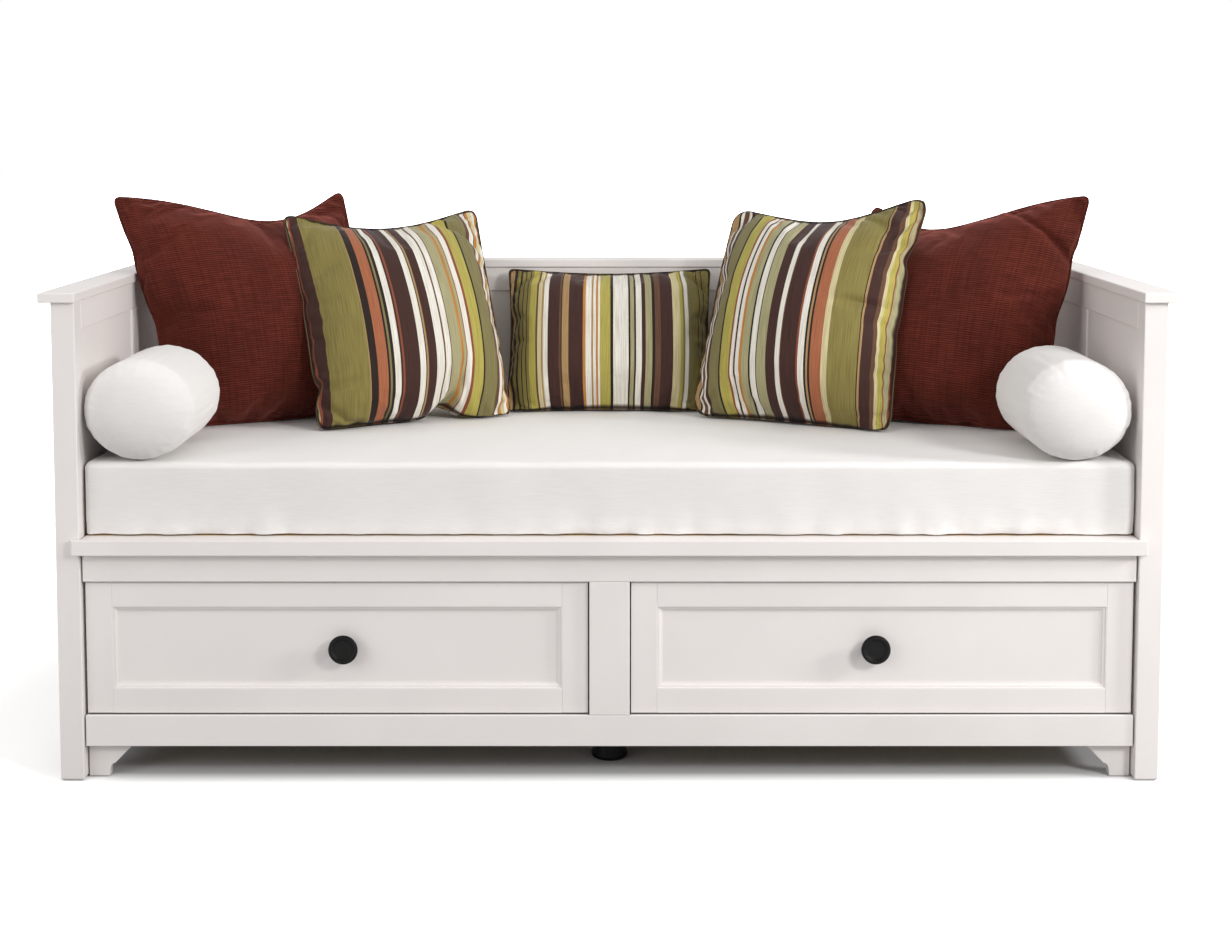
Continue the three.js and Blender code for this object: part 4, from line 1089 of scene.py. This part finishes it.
def add_cushion(node, size, pose, form, material, slot_name, neighbours, bolster=None):
    """Makes a cushion in its place, and gives the distances of its two faces from its
    middle, which the next ones lean on."""
    points, faces, cloth, from_seam, back_index = shape_cushion(size, pose, form)
    points, pressed = press_into_place(points, pose, neighbours)
    points = keep_clear(points, bolster)
    points = fill_cover(points, faces, from_seam, pressed)
    points = pucker_seams(points, cloth, from_seam, pose, form["pucker"], form["seed"])
    points, _ = press_into_place(points, pose, neighbours)
    points = keep_clear(points, bolster)
    piece = add_piece(node + "_cover", points, faces, material, "bedstead", slot_name, [node], crease=60,
                      cloth=cloth, from_seam=from_seam)
    finish_pad(piece)
    out = own_place(points, size, pose)[2]
    front = np.arange(back_index.size).reshape(back_index.shape)
    return size, pose, (out[front], out[back_index])


rust, rust_node, rust_place = start_material("ribbed_rust_cotton", "cloth")
rust_slub = draw_lines(rust_node, rust_place, (22, 420, 1), 3.0)
rust_tone = rust_node("ValToRGB", {"Fac": rust_slub}, stops=[
    (0.3, "#551f15"), (0.5, "#65291c"), (0.7, "#733226")])
rust_worn = rust_node("TexNoise", {"Vector": rust_place, "Scale": 9.0, "Detail": 2.0})
rust_tone = shade_by(rust_node, rust_tone, rust_worn, [(0.35, "#e6e6e6"), (0.65, "#ffffff")])
# The rib, one pick of thick slubbed yarn, is 2.2 mm; in its colour every second one is
# drawn darker, 4.4 mm apart, so that it shows.
rust_rib = rust_node("TexWave", {
    "Vector": rust_place, "Scale": wave_repeat / 0.0044, "Distortion": 0.9, "Detail": 1.0,
    "Detail Scale": 2.0}, out="Fac", bands_direction="Y")
rust_tone = shade_by(rust_node, rust_tone, rust_rib, [(0.1, "#9d8984"), (0.5, "#ffffff")])
# The warp shows between the picks as faint upright lines 5 mm apart.
rust_warp = draw_lines(rust_node, rust_place, (200, 9, 1), 1.0)
rust_tone = shade_by(rust_node, rust_tone, rust_warp, [(0.35, "#e2d9d6"), (0.6, "#ffffff")])
weave_cloth(rust_node, rust_tone, rust_place, thread=0.0022, depth=0.0009, roughness=0.95, sheen=0.5,
            bloom="#e0857a")

plain_size = (0.552, 0.505, 0.190, 0.054, 0.015)
left_plain_pose = (0.248 - arm_inner, 0.346, 32, 16, 12, 0.110)
right_plain_pose = (arm_inner - 0.299, 0.379, -32, 22, -20, -0.080)
# A fold is u, v, its slant in degrees, its length, its breadth and its depth; a notch is
# u, v, its reach and the share that it draws in; an ear is its side and how far it leans
# back, rises and spreads.
plain_form = {"corner": 0.020, "low": 0.12, "forward": 0.012, "pucker": 0.0014}
left_plain_form = {
    **plain_form, "seed": 11, "dip_at": 0.42, "ears": [(1, 0.06, 0.030, 0.036)],
    "notches": [(-1, 0.55, 0.03, 0.02), (-1, -0.1, 0.04, 0.025)],
    "folds": [(0.35, 0.86, 150, 0.09, 0.016, 0.010), (-0.8, 0.5, 25, 0.07, 0.012, 0.004),
              (-0.72, -0.05, -10, 0.08, 0.013, 0.004)]}
right_plain_form = {
    **plain_form, "seed": 23, "dip_at": -0.45, "ears": [(-1, 0.06, 0.030, 0.030), (1, 0, 0.010, 0)],
    "notches": [(1, 0.5, 0.03, 0.02), (1, 0.0, 0.04, 0.025)],
    "folds": [(-0.35, 0.86, 30, 0.09, 0.016, 0.010), (0.8, 0.6, -30, 0.07, 0.012, 0.004),
              (0.75, 0.1, 10, 0.08, 0.013, 0.004)]}
left_plain, right_plain = (
    add_cushion(side + "_plain_cushion", plain_size, pose, form, rust, "rust_fabric", [],
                side + "_bolster")
    for side, pose, form in (("left", left_plain_pose, left_plain_form),
                             ("right", right_plain_pose, right_plain_form)))

# Striped cushions: a cotton stripe, yarn-dyed, in olive, brown, terracotta and white. The
# covers are cut from different widths of the cloth, and the stripes run up them. Each
# stripe starts at its distance in millimetres from the middle of the cover.
yarns = {
    "olive": "#887d46", "moss": "#827a50", "lime": "#b4a956", "brown": "#402722", "bark": "#261b16",
    "chalk": "#ebe7dd", "sand": "#ab8b60", "clay": "#aa6849", "brick": "#8c4d37", "amber": "#be8443",
    "cocoa": "#664836", "putty": "#aaa47e", "cream": "#d3c79c"}
cover_reach = 260
left_stripes = (
    (-250, "brown"), (-224, "cream"), (-219, "brick"), (-214, "brown"), (-195, "olive"),
    (-119, "sand"), (-116, "bark"), (-103, "clay"), (-83, "bark"), (-78, "moss"), (-74, "bark"),
    (-69, "chalk"), (-55, "brown"), (-52, "brick"), (-48, "brown"), (-16, "chalk"), (-4, "bark"),
    (0, "sand"), (4, "brown"), (22, "chalk"), (39, "cocoa"), (42, "chalk"), (54, "cocoa"), (56, "putty"),
    (78, "amber"), (84, "putty"), (91, "brick"), (93, "chalk"), (105, "brick"), (110, "lime"),
    (136, "bark"), (139, "moss"), (173, "cocoa"), (181, "chalk"), (192, "brown"), (195, "amber"),
    (200, "cream"), (209, "chalk"), (215, "amber"), (219, "cream"))
right_stripes = (
    (-250, "sand"), (-207, "bark"), (-202, "chalk"), (-195, "cocoa"), (-186, "chalk"), (-179, "brown"),
    (-171, "moss"), (-143, "bark"), (-139, "lime"), (-116, "brick"), (-113, "chalk"), (-104, "brown"),
    (-101, "chalk"), (-92, "amber"), (-87, "putty"), (-70, "bark"), (-66, "chalk"), (-54, "brown"),
    (-51, "putty"), (-32, "brown"), (-10, "chalk"), (0, "cocoa"), (2, "brown"), (33, "brick"),
    (38, "chalk"), (49, "bark"), (54, "sand"), (58, "bark"), (61, "clay"), (84, "cream"), (96, "olive"),
    (153, "bark"), (156, "sand"), (159, "brown"), (180, "cocoa"), (187, "cream"), (193, "lime"),
    (204, "brick"), (207, "putty"), (215, "brick"), (218, "cream"))
lumbar_stripes = (
    (-250, "sand"), (-218, "bark"), (-212, "olive"), (-204, "bark"), (-201, "olive"), (-191, "bark"),
    (-189, "olive"), (-182, "bark"), (-180, "olive"), (-173, "lime"), (-160, "cocoa"), (-156, "cream"),
    (-148, "sand"), (-144, "chalk"), (-133, "brown"), (-109, "cocoa"), (-105, "bark"), (-102, "sand"),
    (-89, "brown"), (-57, "amber"), (-51, "chalk"), (-39, "sand"), (-35, "chalk"), (-29, "amber"),
    (-26, "chalk"), (-22, "lime"), (2, "bark"), (7, "chalk"), (40, "bark"), (44, "putty"), (51, "brown"),
    (56, "chalk"), (68, "brown"), (76, "putty"), (91, "bark"), (96, "cocoa"), (109, "brown"),
    (135, "cream"), (151, "lime"), (158, "moss"), (161, "chalk"), (169, "moss"), (179, "olive"),
    (197, "bark"), (199, "olive"), (208, "bark"), (210, "olive"))


def make_striped_cloth(name, stripes):
    """Yarn-dyed cotton sateen. The stripes are in two ramps, because one ramp holds 32
    colours. The warp's slubs streak each stripe up the cloth."""
    material, node, place = start_material(name, "cloth")
    across = node("SeparateXYZ", {"Vector": place}, out="X")
    part = node("MapRange", {
        "Value": across, "From Min": -cover_reach / 1000, "From Max": cover_reach / 1000})
    stops = [((start + cover_reach) / (2 * cover_reach), yarns[yarn]) for start, yarn in stripes]
    half = len(stops) // 2
    left, right = (node("ValToRGB", {"Fac": part}, stops=group, steps="CONSTANT")
                   for group in (stops[:half], stops[half:]))
    later = node("Math", {0: part, 1: stops[half][0]}, operation="GREATER_THAN")
    tone = node("Mix", {"Factor": later, "A": left, "B": right}, data_type="RGBA")
    streak = draw_lines(node, place, (620, 14, 1), 3.0)
    tone = shade_by(node, tone, streak, [(0.3, "#d8d4cc"), (0.62, "#ffffff")])
    # The seam: painted shade darkens the cloth for 1.5 mm beside it, where it turns in.
    from_seam = node("Attribute", out="Fac", attribute_name="from_seam")
    tone = shade_by(node, tone, node("MapRange", {"Value": from_seam, "From Max": 0.01}), [
        (0.0, "#5a4a40"), (0.16, "#8d8178"), (0.3, "#3b302a"), (0.5, "#55473e"), (0.68, "#ffffff")])
    # The thread is 0.5 mm; it is drawn at 1.3 mm so that it shows.
    weave_cloth(node, tone, place, thread=0.0013, depth=0.0004, roughness=0.75, sheen=0.12)
    return material


lumbar_size = (0.470, 0.352, 0.140, 0.006, 0.04)
lumbar_pose = (0, 0.195, 0, 28, 0, 0)
lumbar_form = {
    "seed": 35, "corner": 0.014, "low": 0.1, "dip_at": 0, "forward": 0, "pucker": 0.0014,
    "ears": [], "notches": [],
    "folds": [(-0.85, 0.75, 40, 0.05, 0.012, 0.005), (0.85, 0.75, -40, 0.05, 0.012, 0.005)]}
left_striped_size = (0.453, 0.500, 0.185, 0.034, 0.030)
left_striped_pose = (0.591 - arm_inner, 0.350, 27, 26, -4, 0)
striped_form = {"low": 0.3, "dip_at": 0, "forward": 0.016, "pucker": 0.0017}
left_striped_form = {
    **striped_form, "seed": 47, "corner": 0.026, "ears": [(1, 0.045, 0.018, 0.020), (-1, 0, 0.002, 0)],
    "notches": [(-1, -0.66, 0.022, 0.07), (-1, 0.15, 0.02, 0.02), (0.28, -1, 0.034, 0.15)],
    "folds": [(-0.82, -0.66, 8, 0.05, 0.011, 0.011), (0.3, -0.88, 70, 0.06, 0.013, 0.016),
              (0.45, -0.86, 110, 0.05, 0.012, 0.008), (-0.85, -0.85, -35, 0.05, 0.012, 0.007),
              (0.55, 0.8, 140, 0.08, 0.016, 0.008), (-0.88, 0.3, 20, 0.05, 0.010, 0.004)]}
right_striped_size = (0.453, 0.500, 0.185, 0.022, 0.030)
right_striped_pose = (arm_inner - 0.621, 0.366, -28, 24, -6, 0)
right_striped_form = {
    **striped_form, "seed": 59, "corner": 0.042,
    "ears": [(-1, 0.03, 0.012, 0.012), (1, 0.0, 0.030, 0.016)],
    "notches": [(1, 0.5, 0.024, 0.06), (1, -0.15, 0.03, 0.02), (-0.1, 1, 0.05, 0.012)],
    "folds": [(0.66, 0.02, 4, 0.055, 0.014, 0.011), (0.84, 0.55, 25, 0.05, 0.012, 0.010),
              (0.86, 0.72, 50, 0.045, 0.011, 0.008), (0.62, -0.9, 10, 0.05, 0.012, 0.006),
              (-0.45, 0.84, 125, 0.07, 0.014, 0.006), (-0.75, -0.86, 45, 0.06, 0.013, 0.006)]}
lumbar = add_cushion(
    "lumbar_cushion", lumbar_size, lumbar_pose, lumbar_form,
    make_striped_cloth("striped_cotton_lower", lumbar_stripes), "striped_fabric",
    [left_plain, right_plain])
for side, size, pose, form, stripes, plain in (
        ("left", left_striped_size, left_striped_pose, left_striped_form, left_stripes, left_plain),
        ("right", right_striped_size, right_striped_pose, right_striped_form, right_stripes,
         right_plain)):
    cotton = make_striped_cloth("striped_cotton_" + side, stripes)
    add_cushion(side + "_striped_cushion", size, pose, form, cotton, "striped_fabric", [plain, lumbar],
                side + "_bolster")
